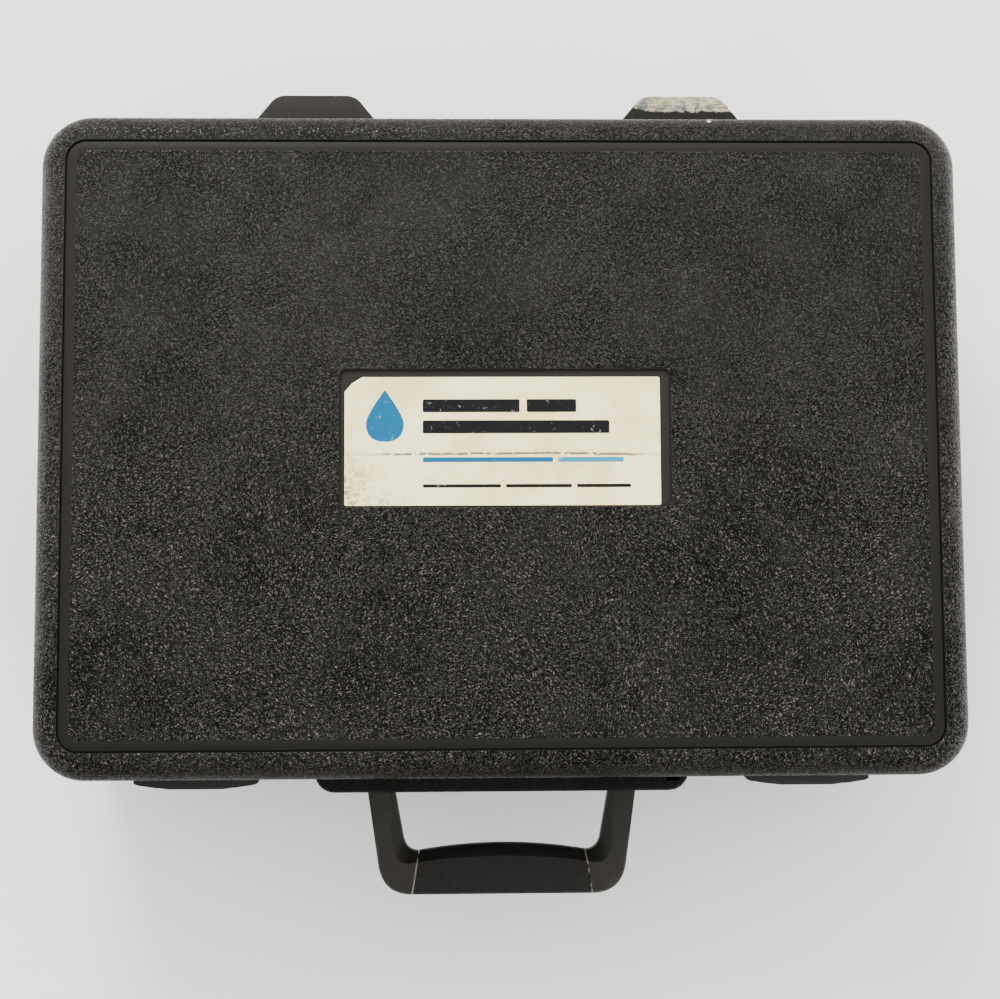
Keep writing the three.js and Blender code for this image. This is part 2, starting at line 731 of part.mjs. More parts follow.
for (const [side, sign] of SIDES) {
  const pinHalf = LID_KNUCKLE / 2 + BASE_KNUCKLE + CLEAR;
  const hx = sign * HINGE_X;
  place(`hinge_pin_${side}`, rod(hx - pinHalf, hx + pinHalf, HINGE_Y, PARTING_Z, HINGE_PIN_R), STEEL);
  place(`rear_foot_${side}`, makeRearFoot(sign), SMOOTH_BLACK);

  const latch = new THREE.Group();
  latch.position.set(sign * LATCH_X, LATCH_PIN.y, LATCH_PIN.z);
  latch.rotation.x = LATCH_REST;
  kit.add(latch);
  place(`latch_${side}`, makeLatch(), SMOOTH_BLACK, latch);
  const lx = sign * LATCH_X;
  const latchPin = rod(lx - LATCH_PIN_HALF, lx + LATCH_PIN_HALF, LATCH_PIN.y, LATCH_PIN.z, LATCH_PIN.r, 10);
  place(`latch_pin_${side}`, latchPin, STEEL);
  const px = sign * HANDLE_PIN_X;
  const handlePin = rod(px - 11.75, px + 11.75, HANDLE_PIVOT.y, HANDLE_PIVOT.z, HANDLE_PIN_R, 14);
  place(`handle_pin_${side}`, handlePin, STEEL);
}

const handle = makeHandle();
place("handle_frame", handle.frame, SMOOTH_BLACK);
place("handle_grip", handle.grip, SMOOTH_BLACK);

place("lid_foam", makeLidFoam(), FOAM);
place("bottom_pad", makeBottomPad(), FOAM);
place("foam_rear", makeRearFoam(), FOAM);
place("foam_tubes", makeTubeFoam(), FOAM);
place("foam_tablets", makeTabletFoam(), FOAM);
place("foam_right", makeRightFoam(), FOAM);

for (let i = 0; i < BOTTLE.n; i++) {
  place(`reagent_bottle_${i + 1}`, makeBottle(bottleX(i), BOTTLE.y, BOTTLE, 14), BOTTLE_PLASTIC);
  const cap = { ...BOTTLE_CAP, inside: BOTTLE.top + CLEAR };
  place(`bottle_cap_${i + 1}`, makeCap(bottleX(i), BOTTLE.y, cap, 14), CAP_WHITE);
}

TUBE.xs.forEach((x, i) => {
  place(`test_tube_${i + 1}`, makeTube(x), GLASS);
  const cap = { ...TUBE_CAP, wall: TUBE_CAP.r - TUBE.r - CLEAR, inside: TUBE.length + CLEAR };
  place(`tube_cap_${i + 1}`, makeCap(x, TUBE.y, cap, 16), CAP_BLUE);
});

place("sample_bottle", makeBottle(SAMPLE.x, SAMPLE.y, SAMPLE, 18), BOTTLE_PLASTIC);
const sampleCap = { ...SAMPLE_CAP, inside: SAMPLE.top + CLEAR };
place("sample_cap", makeCap(SAMPLE.x, SAMPLE.y, sampleCap, 18), CAP_BLUE);

TITRATOR.xs.forEach((x, i) => {
  place(`titrator_barrel_${i + 1}`, makeTitratorBarrel(x), CLEAR_PLASTIC);
  place(`titrator_plunger_${i + 1}`, makeTitratorPlunger(x), CAP_WHITE);
});

place("comparator_viewer", makeViewer(), VIEWER_PLASTIC);
place("color_slide", makeColorSlide(), SLIDE_PLASTIC);

const tabletBox = makeTabletBox();
place("tablet_box_base", tabletBox.base, CLEAR_PLASTIC);
place("tablet_box_lid", tabletBox.lid, CAP_BLUE);

place("instruction_booklet", plate(BOOKLET.w, BOOKLET.d, 2, FOAM_Z0, FOAM_Z0 + BOOKLET.h, 0, -36), PAPER);

export default kit;
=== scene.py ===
"""A water test kit in a moulded carrying case: looks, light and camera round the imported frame."""
import math

import bmesh
import bpy
from mathutils import Matrix, Vector


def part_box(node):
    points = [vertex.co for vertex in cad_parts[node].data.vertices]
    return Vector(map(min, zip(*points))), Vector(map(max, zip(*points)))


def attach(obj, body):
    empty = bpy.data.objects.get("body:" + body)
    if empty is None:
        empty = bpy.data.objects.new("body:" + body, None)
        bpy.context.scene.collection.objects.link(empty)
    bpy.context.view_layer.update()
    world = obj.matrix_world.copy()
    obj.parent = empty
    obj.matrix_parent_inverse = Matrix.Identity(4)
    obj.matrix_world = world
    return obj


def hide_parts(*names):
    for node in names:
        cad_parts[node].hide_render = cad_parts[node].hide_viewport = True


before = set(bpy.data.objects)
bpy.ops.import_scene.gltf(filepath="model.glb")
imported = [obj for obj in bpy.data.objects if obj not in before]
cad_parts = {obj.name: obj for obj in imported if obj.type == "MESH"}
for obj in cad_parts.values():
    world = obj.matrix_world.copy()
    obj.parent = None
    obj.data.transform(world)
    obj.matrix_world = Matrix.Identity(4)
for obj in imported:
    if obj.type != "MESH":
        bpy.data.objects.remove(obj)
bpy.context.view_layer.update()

MM = 0.001

# ---------- sizes read from the frame, in mm


def span(node):
    low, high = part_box(node)
    return low / MM, high / MM


LID_LOW, LID_HIGH = span("lid_shell")
HALF_W = LID_HIGH.x
HALF_D = -LID_LOW.y
TOP = LID_HIGH.z
PARTING = 80.0
PARTING_GAP = 0.4
WALL = 3.0
CORNER_R = 23.0
DRAFT = math.tan(math.radians(1.5))
LID_ROUND = 11.0
BASE_ROUND = 10.0
PANEL_HALF = (185.5, 129.5)
PANEL_DROP = 0.45
STRIP_DROP = 0.25
GROOVE_DROP = 1.5
PANEL_R = 9.0
GROOVE = 0.9
STRIP = 4.0
RECESS_SIZE = (140.0, 58.4)
RECESS_AT = (1.2, 1.3)


def centre(node):
    low, high = span(node)
    return (low + high) / 2


HINGE = centre("hinge_pin_right")
LATCH_PIN = centre("latch_pin_right")
LATCH_X = LATCH_PIN.x
PIVOT = centre("handle_pin_right")
WALL_Y = -HALF_D  # the front wall at the parting plane
LATCH_FLOOR = WALL_Y + 4.8
BAR_HALF = 83.6
BAR_REACH = 9.0
RECESS_HALF = 28.8  # half the width of a latch's recess
PAD_HALF = RECESS_HALF + 4.0  # the thickened wall behind a recess
PAD_Y = WALL_Y + 1.5
KNUCKLE_R = 3.8
LID_KNUCKLE_HALF = 10.0
LUG_HALF = 5.5
LUG_X = 15.8  # a base lug's distance from the middle of its hinge
LEG_FRONT = WALL_Y - 8.0  # where the handle's legs begin to taper
OUT = span("handle_grip")[0].y  # the outside of the grip
SEAM_SLOPE = 5.5 / 35.0
SEAM_X = 41.0 - 5.0 * SEAM_SLOPE  # half the grip's length along its outside

# ---------- node graphs


class Graph:
    """Short calls for building a material's nodes."""

    def __init__(self, name):
        self.material = bpy.data.materials.new(name)
        self.material.use_nodes = True
        self.tree = self.material.node_tree
        self.shader = self.tree.nodes["Principled BSDF"]
        place = self.node("TexCoord").outputs["Object"]
        in_mm = self.node("VectorMath", {0: place, "Scale": 1 / MM}, operation="SCALE")
        self.at = in_mm.outputs[0]  # position in mm

    def node(self, kind, inputs=(), **settings):
        made = self.tree.nodes.new("ShaderNode" + kind)
        for key, value in settings.items():
            setattr(made, key, value)
        for key, value in dict(inputs).items():
            self.put(made.inputs[key], value)
        return made

    def put(self, socket, value):
        if isinstance(value, bpy.types.NodeSocket):
            self.tree.links.new(value, socket)
        else:
            socket.default_value = value

    def math(self, operation, a, b=0.0):
        return self.node("Math", {0: a, 1: b}, operation=operation).outputs[0]

    def plus(self, a, b):
        return self.math("ADD", a, b)

    def minus(self, a, b):
        return self.math("SUBTRACT", a, b)

    def times(self, first, *others):
        """The product of all the values."""
        for other in others:
            first = self.math("MULTIPLY", first, other)
        return first

    def split(self, at=None):
        """The x, y and z of a place, or of the position."""
        return self.node("SeparateXYZ", {0: at or self.at}).outputs

    def blend(self, factor, a, b):
        return self.node("Mix", {"Factor": factor, "A": a, "B": b}, data_type="FLOAT").outputs[0]

    def shifted(self, *offset):
        return self.vector("ADD", self.at, offset)

    def vector(self, operation, a, b=(0, 0, 0)):
        made = self.node("VectorMath", {0: a, 1: b}, operation=operation)
        return made.outputs["Value" if operation == "LENGTH" else "Vector"]

    def noise(self, scale, detail=3.0, roughness=0.55, at=None, distortion=0.0):
        inputs = {"Vector": at or self.at, "Scale": scale, "Detail": detail}
        inputs |= {"Roughness": roughness, "Distortion": distortion}
        return self.node("TexNoise", inputs).outputs["Fac"]

    def creases(self, scale, at):
        inputs = {"Vector": at, "Scale": scale}
        return self.node("TexVoronoi", inputs, feature="DISTANCE_TO_EDGE").outputs["Distance"]

    def ramp(self, value, low, high, out_low=0.0, out_high=1.0):
        inputs = {"Value": value, "From Min": low, "From Max": high, "To Min": out_low, "To Max": out_high}
        return self.node("MapRange", inputs, interpolation_type="SMOOTHSTEP").outputs["Result"]

    def mix(self, factor, a, b):
        made = self.node("Mix", data_type="RGBA")
        self.put(made.inputs["Factor"], factor)
        for socket, value in ((made.inputs[6], a), (made.inputs[7], b)):
            self.put(socket, value if isinstance(value, bpy.types.NodeSocket) else (*value, 1.0))
        return made.outputs[2]

    def warped(self, scale, reach):
        """The position pushed about by noise, for grain that flows rather than tiles."""
        made = self.node("TexNoise", {"Vector": self.at, "Scale": scale, "Detail": 2.0})
        off = self.vector("SUBTRACT", made.outputs["Color"], (0.5, 0.5, 0.5))
        push = self.node("VectorMath", {0: off, "Scale": reach}, operation="SCALE").outputs[0]
        return self.vector("ADD", self.at, push)

    def bump(self, height, distance, strength=1.0):
        made = self.node("Bump", {"Height": height, "Distance": distance * MM, "Strength": strength})
        self.put(self.shader.inputs["Normal"], made.outputs["Normal"])

    def set(self, **values):
        names = {"color": "Base Color", "rough": "Roughness", "specular": "Specular IOR Level"}
        names |= {"clear": "Transmission Weight", "sheen": "Sheen Weight"}
        for key, value in values.items():
            socket = self.shader.inputs[names.get(key, key)]
            if key == "color" and not isinstance(value, bpy.types.NodeSocket):
                value = (*value, 1.0)
            self.put(socket, value)

    def speck(self, at, size):
        """One inside an ellipse seen in plan, nothing outside it."""
        offset = self.vector("SUBTRACT", self.at, (*at, 0.0))
        scaled = self.vector("MULTIPLY", offset, (1 / size[0], 1 / size[1], 0.0))
        ragged = self.times(self.minus(self.noise(1.1, 3.0), 0.5), 0.9)
        return self.ramp(self.plus(self.vector("LENGTH", scaled), ragged), 1.05, 0.9)

    def rounded_rect(self, half, radius, centre=(0.0, 0.0)):
        """Signed distance in mm to a rounded rectangle seen in plan, negative inside."""
        offset = self.vector("SUBTRACT", self.at, (*centre, 0.0))
        flat = self.vector("MULTIPLY", self.vector("ABSOLUTE", offset), (1, 1, 0))
        corner = self.vector("SUBTRACT", flat, (half[0] - radius, half[1] - radius, 0))
        outside = self.vector("LENGTH", self.vector("MAXIMUM", corner))
        x, y, _ = self.split(corner)
        inside = self.math("MINIMUM", self.math("MAXIMUM", x, y), 0.0)
        return self.minus(self.plus(outside, inside), radius)


# ---------- materials
# Near black, for painted shade towards the front of the panel and on the base's bar, and for the darker
# plain band on the lid.
NEAR_BLACK = (0.004, 0.0036, 0.003)


def wrinkles(g, degrees, wide, along, offset):
    """Short creases that mostly run one way: low in the crease, high between."""
    inputs = {"Vector": g.warped(0.22, 2.0), "Angle": math.radians(degrees)}
    turned = g.node("VectorRotate", inputs, rotation_type="Z_AXIS").outputs[0]
    shifted = g.vector("ADD", turned, (offset, offset * 1.7, 0.0))
    stretched = g.vector("MULTIPLY", shifted, (1 / along, 1 / wide, 1 / wide))
    return g.noise(1.0, 1.6, 0.45, at=stretched)


def thin_lines(g, value, near, far, least=0.0):
    """Low along the value's middle contour, which wanders like a crease, and one away from it."""
    return g.ramp(g.math("ABSOLUTE", g.minus(value, 0.5)), near, far, least, 1.0)


def leather_height(g):
    """Moulded leather grain, and its crests: short wrinkles whose run changes from place to place."""
    a = wrinkles(g, 32, 0.66, 1.6, 0.0)
    b = wrinkles(g, 101, 0.68, 1.5, 31.0)
    c = wrinkles(g, 158, 0.64, 1.45, 57.0)
    patches = g.ramp(g.noise(0.021, 2.0, 0.5), 0.42, 0.58)
    other = g.ramp(g.noise(0.035, 2.0, 0.5, at=g.shifted(300, 90, 0)), 0.44, 0.56)
    strokes = g.blend(other, g.blend(patches, a, b), c)
    pebble = g.noise(2.0, 1.0, 0.4, at=g.warped(0.7, 0.7))
    mixed = g.plus(g.times(strokes, 0.60), g.times(pebble, 0.40))
    worms = thin_lines(g, g.noise(0.68, 1.0, 0.4, at=g.warped(0.5, 1.2)), 0.018, 0.085, 0.08)
    folds = thin_lines(g, wrinkles(g, 75, 1.5, 4.6, 83.0), 0.008, 0.042)
    shown = g.ramp(g.noise(0.018, 2.0, 0.5, at=g.shifted(40, 500, 0)), 0.40, 0.62)
    lines = g.times(worms, g.blend(shown, 1.0, folds))
    return g.times(g.ramp(mixed, 0.36, 0.56), lines), g.times(g.ramp(mixed, 0.54, 0.65), lines)


def smooth_parts(g):
    """One on the lid's plain band and in the label's recess; the second value is the band alone."""
    band_out = g.rounded_rect(PANEL_HALF, PANEL_R)
    inner = (PANEL_HALF[0] - STRIP - GROOVE, PANEL_HALF[1] - STRIP - GROOVE)
    band_in = g.rounded_rect(inner, PANEL_R - STRIP)
    band = g.times(g.ramp(band_out, 0.4, -0.3), g.ramp(band_in, -0.3, 0.4))
    recess_half = (RECESS_SIZE[0] / 2, RECESS_SIZE[1] / 2)
    well = g.rounded_rect(recess_half, 3.0, RECESS_AT)
    return g.math("MAXIMUM", band, g.ramp(well, 0.5, -0.2)), band


def shell_material(name, is_lid, tone=1.0, wear=0.8):
    """Grained black plastic: a brown speckle along the outer edge that is partly wear and partly painted
    highlight, painted shade in the creases and towards the front, and a painted highlight on the front
    crests.
    """
    g = Graph(name)
    grain, crests = leather_height(g)
    x, y, z = g.split()
    off_middle = g.math("ABSOLUTE", x)
    rim = g.rounded_rect((HALF_W, HALF_D), CORNER_R)
    low_tone = [c * tone for c in (0.0130, 0.0118, 0.0094)]
    high_tone = [c * tone for c in (0.0165, 0.0149, 0.0118)]
    body = g.mix(g.noise(0.012, 4.0, 0.6), low_tone, high_tone)
    if is_lid:
        smooth, band = smooth_parts(g)
        grained = g.minus(1.0, smooth)
        darker = g.times(band, 0.30)
    else:
        # Painted shadow on the base: the bar in front of the wall is darkened as if under the lid.
        darker = g.times(g.ramp(y, WALL_Y, WALL_Y - 1.5), 0.45)  # the bar in front of the wall
        grained = g.minus(1.0, g.times(darker, 0.6))
    # Brown speckle at the left and right ends of the outer edge: partly wear, partly painted highlight,
    # paler towards the right end where more light falls.
    edge = g.times(g.ramp(rim, -9.0, -1.5), g.ramp(z, TOP - 16.0, TOP - 7.0, 0.22, 1.0))
    rubbed = g.times(edge, g.ramp(g.noise(1.5, 3.0, 0.6), 0.46, 0.62))
    at_ends = g.ramp(off_middle, 155.0, 188.0, 0.35, 1.0)
    brown = g.mix(g.ramp(x, 150.0, 185.0), (0.165, 0.112, 0.070), (0.34, 0.265, 0.20))
    body = g.mix(g.times(rubbed, at_ends, g.ramp(grain, 0.35, 0.9), wear), body, brown)
    # Painted shade darkens the panel towards the front, and a painted highlight makes the crests in the
    # front half paler.
    front_highlight = g.times(g.ramp(y, 60.0, -70.0, 0.22, 0.85), g.ramp(rim, -9.0, -3.0, 1.0, 0.12))
    body = g.mix(g.ramp(y, 20.0, -100.0, 0.0, 0.45), body, NEAR_BLACK)
    body = g.mix(g.times(crests, grained, front_highlight), body, (0.125, 0.116, 0.098))
    body = g.mix(darker, body, NEAR_BLACK)
    # Painted shade in the creases: darkest in the front half of the panel and lighter round the rim.
    spread = g.noise(0.03, 3.0, 0.6, at=g.shifted(70, 210, 0))
    depth = g.ramp(spread, 0.35, 0.65, 0.72, 1.0)
    deep = g.times(g.ramp(y, 110.0, -60.0, 0.74, 0.97), g.ramp(rim, -9.0, -3.0, 1.0, 0.58))
    crease = g.times(g.ramp(grain, 0.55, 0.0), grained, depth, deep)
    body = g.mix(crease, body, (0.0015, 0.0013, 0.001))
    dust = g.times(g.ramp(g.noise(3.5, 2.0, 0.5), 0.72, 0.8), 0.3)
    body = g.mix(dust, body, (0.10, 0.095, 0.085))
    if is_lid:
        # Two specks of pale paint on the rear edge, over the right foot.
        large = g.speck((HINGE.x + 6.9, HALF_D - 0.6), (1.9, 1.2))
        small = g.speck((HINGE.x + 6.1, HALF_D - 3.4), (0.95, 0.65))
        paint = g.times(g.math("MAXIMUM", large, small), g.ramp(z, TOP - 10.6, TOP - 10.0))
        body = g.mix(paint, body, (0.72, 0.68, 0.52))
    scratches = g.ramp(g.noise(0.25, 6.0, 0.75, distortion=1.5), 0.3, 0.75, 0.25, 0.36)
    matt = g.times(g.minus(1.0, grained), 0.28)
    rough = g.plus(g.plus(scratches, matt), g.times(crease, 0.4))
    edge_shine = 0.25 if is_lid else 1.0
    far_edges = g.ramp(g.math("ABSOLUTE", y), HALF_D - 14.0, HALF_D - 3.0, 1.0, edge_shine)
    shine = g.times(g.ramp(crease, 0.0, 0.8, 0.27, 0.04), far_edges, g.ramp(darker, 0.0, 0.75, 1.0, 0.3))
    g.set(color=body, rough=rough, specular=g.times(shine, g.ramp(grained, 0.0, 1.0, 0.5, 1.0)))
    g.bump(g.times(grain, grained, g.plus(0.35, depth)), 0.42)
    return g.material


def satin_material(name, color, wear=0.0, seed=0.0, rough=0.42):
    """Smooth moulded plastic: fine texture, faint handling marks, lighter where it is rubbed."""
    g = Graph(name)
    shifted = g.shifted(seed, seed * 0.7, 0.0)
    cloud = g.noise(0.05, 4.0, 0.6, at=shifted)
    marks = g.ramp(g.noise(0.22, 7.0, 0.72, at=shifted, distortion=2.0), 0.55, 0.78)
    tone = g.mix(cloud, tuple(c * 0.8 for c in color), tuple(c * 1.25 for c in color))
    tone = g.mix(g.times(marks, 0.28 + wear * 0.3), tone, tuple(c * 2.6 + 0.01 for c in color))
    specks = g.times(g.ramp(g.noise(1.9, 3.0, 0.6, at=shifted), 0.6, 0.72), wear)
    tone = g.mix(specks, tone, tuple(c * 5 + 0.01 for c in color))
    g.set(color=tone, rough=g.ramp(marks, 0.0, 1.0, rough, rough + 0.15), specular=0.16)
    g.bump(g.plus(g.noise(3.2, 3.0), g.times(g.noise(0.9, 2.0), 0.5)), 0.05, 0.55)
    return g.material


def handle_material():
    """Smooth legs and a finely grained grip, with pale flash along the two slanted seams."""
    g = Graph("handle_plastic")
    x, y, _ = g.split()
    forward = g.minus(y, OUT)
    seam = g.plus(g.math("ABSOLUTE", x), g.times(forward, SEAM_SLOPE))
    from_seam = g.minus(seam, SEAM_X)
    in_grip = g.ramp(from_seam, 0.3, -0.3)
    grain = g.ramp(g.noise(1.9, 2.0, 0.5, at=g.warped(0.7, 0.7)), 0.40, 0.58)
    cloud = g.noise(0.06, 4.0, 0.6)
    tone = g.mix(cloud, (0.0085, 0.0075, 0.0058), (0.0150, 0.0130, 0.0098))
    tone = g.mix(g.times(in_grip, 0.8), tone, (0.0055, 0.005, 0.004))
    dust = g.times(g.ramp(g.noise(0.3, 6.0, 0.75, distortion=1.5), 0.54, 0.7), 0.5)
    tone = g.mix(dust, tone, (0.03, 0.025, 0.018))
    # Painted shade: the grip's grain pits are darkened towards black.
    pits = g.times(in_grip, g.ramp(grain, 0.6, 0.1))
    tone = g.mix(pits, tone, (0.0015, 0.0014, 0.0011))
    on_seam = g.ramp(g.math("ABSOLUTE", from_seam), 0.36, 0.16)
    flash = g.times(on_seam, g.ramp(g.noise(0.25, 3.0), 0.38, 0.52))
    tone = g.mix(g.times(flash, 0.8), tone, (0.30, 0.27, 0.21))
    g.set(color=tone, rough=g.ramp(in_grip, 0.0, 1.0, 0.40, 0.55), specular=0.2)
    fine = g.times(g.noise(2.6, 3.0), 0.15)
    g.bump(g.plus(fine, g.times(in_grip, grain)), 0.22, 0.8)
    return g.material


def scuffed_foot_material():
    """The right foot's outer part is rubbed to a chalky white with a ragged edge."""
    g = Graph("foot_scuffed")
    x, y, _ = g.split()
    edge_y = span("rear_foot_right")[1].y - 7.4
    past = g.minus(y, edge_y)
    lifted = g.ramp(x, HINGE.x - 13.0, HINGE.x - 27.0, 0.0, 3.4)
    ragged = g.times(g.minus(g.noise(0.3, 7.0, 0.72), 0.5), 4.0)
    worn = g.ramp(g.plus(g.minus(past, lifted), ragged), -0.25, 0.3)
    streaks = g.noise(0.6, 6.0, 0.75, at=g.vector("MULTIPLY", g.at, (0.4, 1.6, 1.0)))
    chalk = g.mix(g.ramp(streaks, 0.38, 0.60), (0.17, 0.155, 0.115), (0.50, 0.44, 0.30))
    smudge = g.ramp(g.noise(0.16, 5.0, 0.7, distortion=1.0), 0.49, 0.60)
    chalk = g.mix(g.times(smudge, 0.75), chalk, (0.055, 0.072, 0.10))
    body = g.mix(worn, (0.0085, 0.0077, 0.006), chalk)
    g.set(color=body, rough=g.ramp(worn, 0.0, 1.0, 0.7, 0.85), specular=0.16)
    g.bump(g.plus(g.noise(1.6, 5.0, 0.7), worn), 0.12, 0.7)
    return g.material


def label_material():
    """Cream vinyl, yellowed, with a long crease and scuffs."""
    g = Graph("label_vinyl")
    low, high = span("label_plate")
    x, y, _ = g.split()
    stain = g.ramp(g.noise(0.035, 5.0, 0.65), 0.32, 0.62)
    tone = g.mix(stain, (0.90, 0.74, 0.34), (1.0, 0.96, 0.53))
    fibre = g.ramp(g.noise(0.9, 6.0, 0.75), 0.54, 0.70)
    tone = g.mix(g.times(fibre, 0.42), tone, (0.42, 0.32, 0.18))
    blots = g.ramp(g.noise(0.14, 5.0, 0.7, at=g.shifted(17, 5, 0)), 0.60, 0.72)
    tone = g.mix(g.times(blots, 0.30), tone, (0.45, 0.36, 0.22))
    wander = g.times(g.minus(g.noise(0.06, 5.0, 0.6), 0.5), 2.6)
    crease_y = low.y + (high.y - low.y) * 0.40
    off = g.math("ABSOLUTE", g.plus(g.minus(y, crease_y), wander))
    left_end = g.ramp(x, low.x + 8, low.x + 24, 0.25, 1.0)
    right_end = g.ramp(x, high.x - 4, high.x - 14, 0.25, 1.0)
    broken = g.ramp(g.noise(0.3, 4.0), 0.32, 0.44)
    crease = g.times(g.ramp(off, 0.75, 0.25), g.times(left_end, right_end), broken)
    tone = g.mix(g.times(crease, 0.9), tone, (0.09, 0.032, 0.030))
    corner = g.plus(g.minus(x, low.x), g.minus(y, low.y))
    scuffed = g.times(g.ramp(corner, 36.0, 4.0), g.ramp(g.noise(0.45, 7.0, 0.75), 0.49, 0.57))
    tone = g.mix(g.times(scuffed, 0.85), tone, (0.17, 0.15, 0.12))
    height = g.minus(g.noise(0.5, 4.0), g.times(crease, 2.0))
    g.set(color=tone, rough=g.ramp(g.noise(0.2, 4.0), 0.3, 0.7, 0.34, 0.52), specular=0.4)
    g.bump(height, 0.09, 0.5)
    return g.material


def ink_material(name, color, fade=0.0):
    g = Graph(name)
    rubbed = g.ramp(g.noise(0.35, 7.0, 0.75, distortion=1.0), 0.60, 0.68)
    worn = g.times(rubbed, 0.35 + fade)
    g.set(color=g.mix(worn, color, (0.72, 0.68, 0.56)), rough=0.6, specular=0.12)
    g.bump(g.noise(1.5, 3.0), 0.02, 0.4)
    return g.material


def foam_material():
    """Open-cell foam: matt, charcoal, pitted all over."""
    g = Graph("open_cell_foam")
    cells = g.creases(1.15, g.warped(0.8, 0.6))
    pits = g.ramp(cells, 0.0, 0.36)
    # Painted shade: the low lines between the cells are darkened.
    tone = g.mix(pits, (0.010, 0.011, 0.0125), (0.050, 0.054, 0.060))
    tone = g.mix(g.times(g.noise(0.02, 3.0), 0.5), tone, (0.03, 0.032, 0.035))
    g.set(color=tone, rough=0.96, specular=0.15, sheen=0.25)
    g.bump(g.plus(pits, g.noise(2.5, 3.0)), 0.4, 0.8)
    return g.material


def gloss_material(name, color, rough=0.3, alpha=1.0, mottled=0.12):
    g = Graph(name)
    cloud = g.noise(0.08, 4.0, 0.6)
    low = tuple(c * (1 - mottled) for c in color)
    g.set(color=g.mix(cloud, low, color), rough=g.ramp(g.noise(0.6, 5.0), 0.3, 0.7, rough, rough + 0.14))
    g.bump(g.noise(1.1, 3.0), 0.03, 0.35)
    if alpha < 1:
        g.set(clear=1.0 - alpha, IOR=1.46)
    return g.material


def steel_material():
    g = Graph("pin_steel")
    turned = g.noise(1.4, 4.0, 0.7, at=g.vector("MULTIPLY", g.at, (3.0, 0.4, 0.4)))
    rust = g.ramp(g.noise(0.5, 6.0, 0.7), 0.60, 0.72)
    tone = g.mix(g.times(rust, 0.4), (0.50, 0.49, 0.47), (0.20, 0.11, 0.06))
    g.set(color=tone, rough=g.ramp(turned, 0.3, 0.7, 0.24, 0.42), Metallic=1.0)
    g.bump(turned, 0.02, 0.4)
    return g.material


def paper_material():
    g = Graph("booklet_paper")
    tone = g.mix(g.noise(0.05, 5.0, 0.6), (0.68, 0.66, 0.60), (0.78, 0.77, 0.73))
    edge = g.ramp(g.noise(0.6, 6.0, 0.7), 0.6, 0.75)
    g.set(color=g.mix(g.times(edge, 0.25), tone, (0.42, 0.36, 0.28)), rough=0.7)
    g.bump(g.noise(1.6, 5.0, 0.7), 0.06, 0.5)
    return g.material


LID_PLASTIC = shell_material("lid_leather_grain", True)
# The base is a darker copy of the lid's material: painted shade, as it sits in the shadow of the lid.
BASE_PLASTIC = shell_material("base_leather_grain", False, 0.55, 0.45)
FOOT_PLASTIC = satin_material("foot_plastic", (0.0155, 0.0141, 0.0112), 0.5, 11.0, 0.72)
SCUFFED = scuffed_foot_material()
HANDLE_PLASTIC = handle_material()
LATCH_PLASTIC = satin_material("latch_plastic", (0.0125, 0.0115, 0.0105), 0.25, 75.0, 0.5)
LABEL_VINYL = label_material()
INK_DARK = ink_material("ink_dark", (0.004, 0.004, 0.005))
INK_BLUE = ink_material("ink_blue", (0.0, 0.105, 0.22), 0.1)
INK_TEAL = ink_material("ink_teal", (0.015, 0.24, 0.36), 0.25)
FOAM_LOOK = foam_material()
STEEL = steel_material()
PAPER = paper_material()
HDPE = gloss_material("bottle_hdpe", (0.80, 0.79, 0.74), 0.36)
CAP_WHITE = gloss_material("cap_white", (0.74, 0.74, 0.72), 0.3)
CAP_BLUE = gloss_material("cap_blue", (0.010, 0.12, 0.36), 0.3)
GLASS = gloss_material("tube_glass", (0.90, 0.95, 0.96), 0.03, 0.06, 0.02)
CLEAR = gloss_material("clear_plastic", (0.85, 0.90, 0.93), 0.12, 0.2, 0.03)
VIEWER = satin_material("viewer_plastic", (0.016, 0.019, 0.024), 0.1, 120.0)
SLIDE = gloss_material("slide_plastic", (0.62, 0.60, 0.54), 0.25)
BAND_COLORS = [(0.45, 0.05, 0.05), (0.02, 0.20, 0.45), (0.55, 0.33, 0.03), (0.05, 0.30, 0.12)]
BAND_COLORS += [(0.28, 0.08, 0.35), (0.50, 0.16, 0.03), (0.03, 0.33, 0.36), (0.25, 0.25, 0.27)]
FROSTED = gloss_material("frosted_screen", (0.86, 0.88, 0.90), 0.55)
TABLET = gloss_material("tablet_white", (0.78, 0.77, 0.72), 0.6)
COVER = gloss_material("booklet_cover", (0.62, 0.66, 0.68), 0.35)
CHIP_COUNT = 8
CHIP_COLORS = [(0.75 - 0.035 * i, 0.55 - 0.07 * i, 0.60 - 0.06 * i) for i in range(CHIP_COUNT)]
CHIPS = [gloss_material(f"chip_{i + 1}", color, 0.15) for i, color in enumerate(CHIP_COLORS)]
BANDS = [ink_material(f"band_{i + 1}", color) for i, color in enumerate(BAND_COLORS)]

# ---------- mesh building, in mm


def add(name, data):
    made = bpy.data.objects.new(name, data)
    bpy.context.scene.collection.objects.link(made)
    return made


def build(name, points, faces, material, sharp=35.0):
    mesh = bpy.data.meshes.new(name)
    mesh.from_pydata([Vector(p) * MM for p in points], [], faces)
    mesh.validate()
    made = add(name, mesh)
    mesh.materials.append(material)
    fix_normals(made)
    shade(made, sharp)
    return made


def fix_normals(made):
    bm = bmesh.new()
    bm.from_mesh(made.data)
    bmesh.ops.recalc_face_normals(bm, faces=bm.faces)
    bm.to_mesh(made.data)
    bm.free()


def shade(made, sharp):
    made.data.shade_smooth()
    made.data.set_sharp_from_angle(angle=math.radians(sharp))


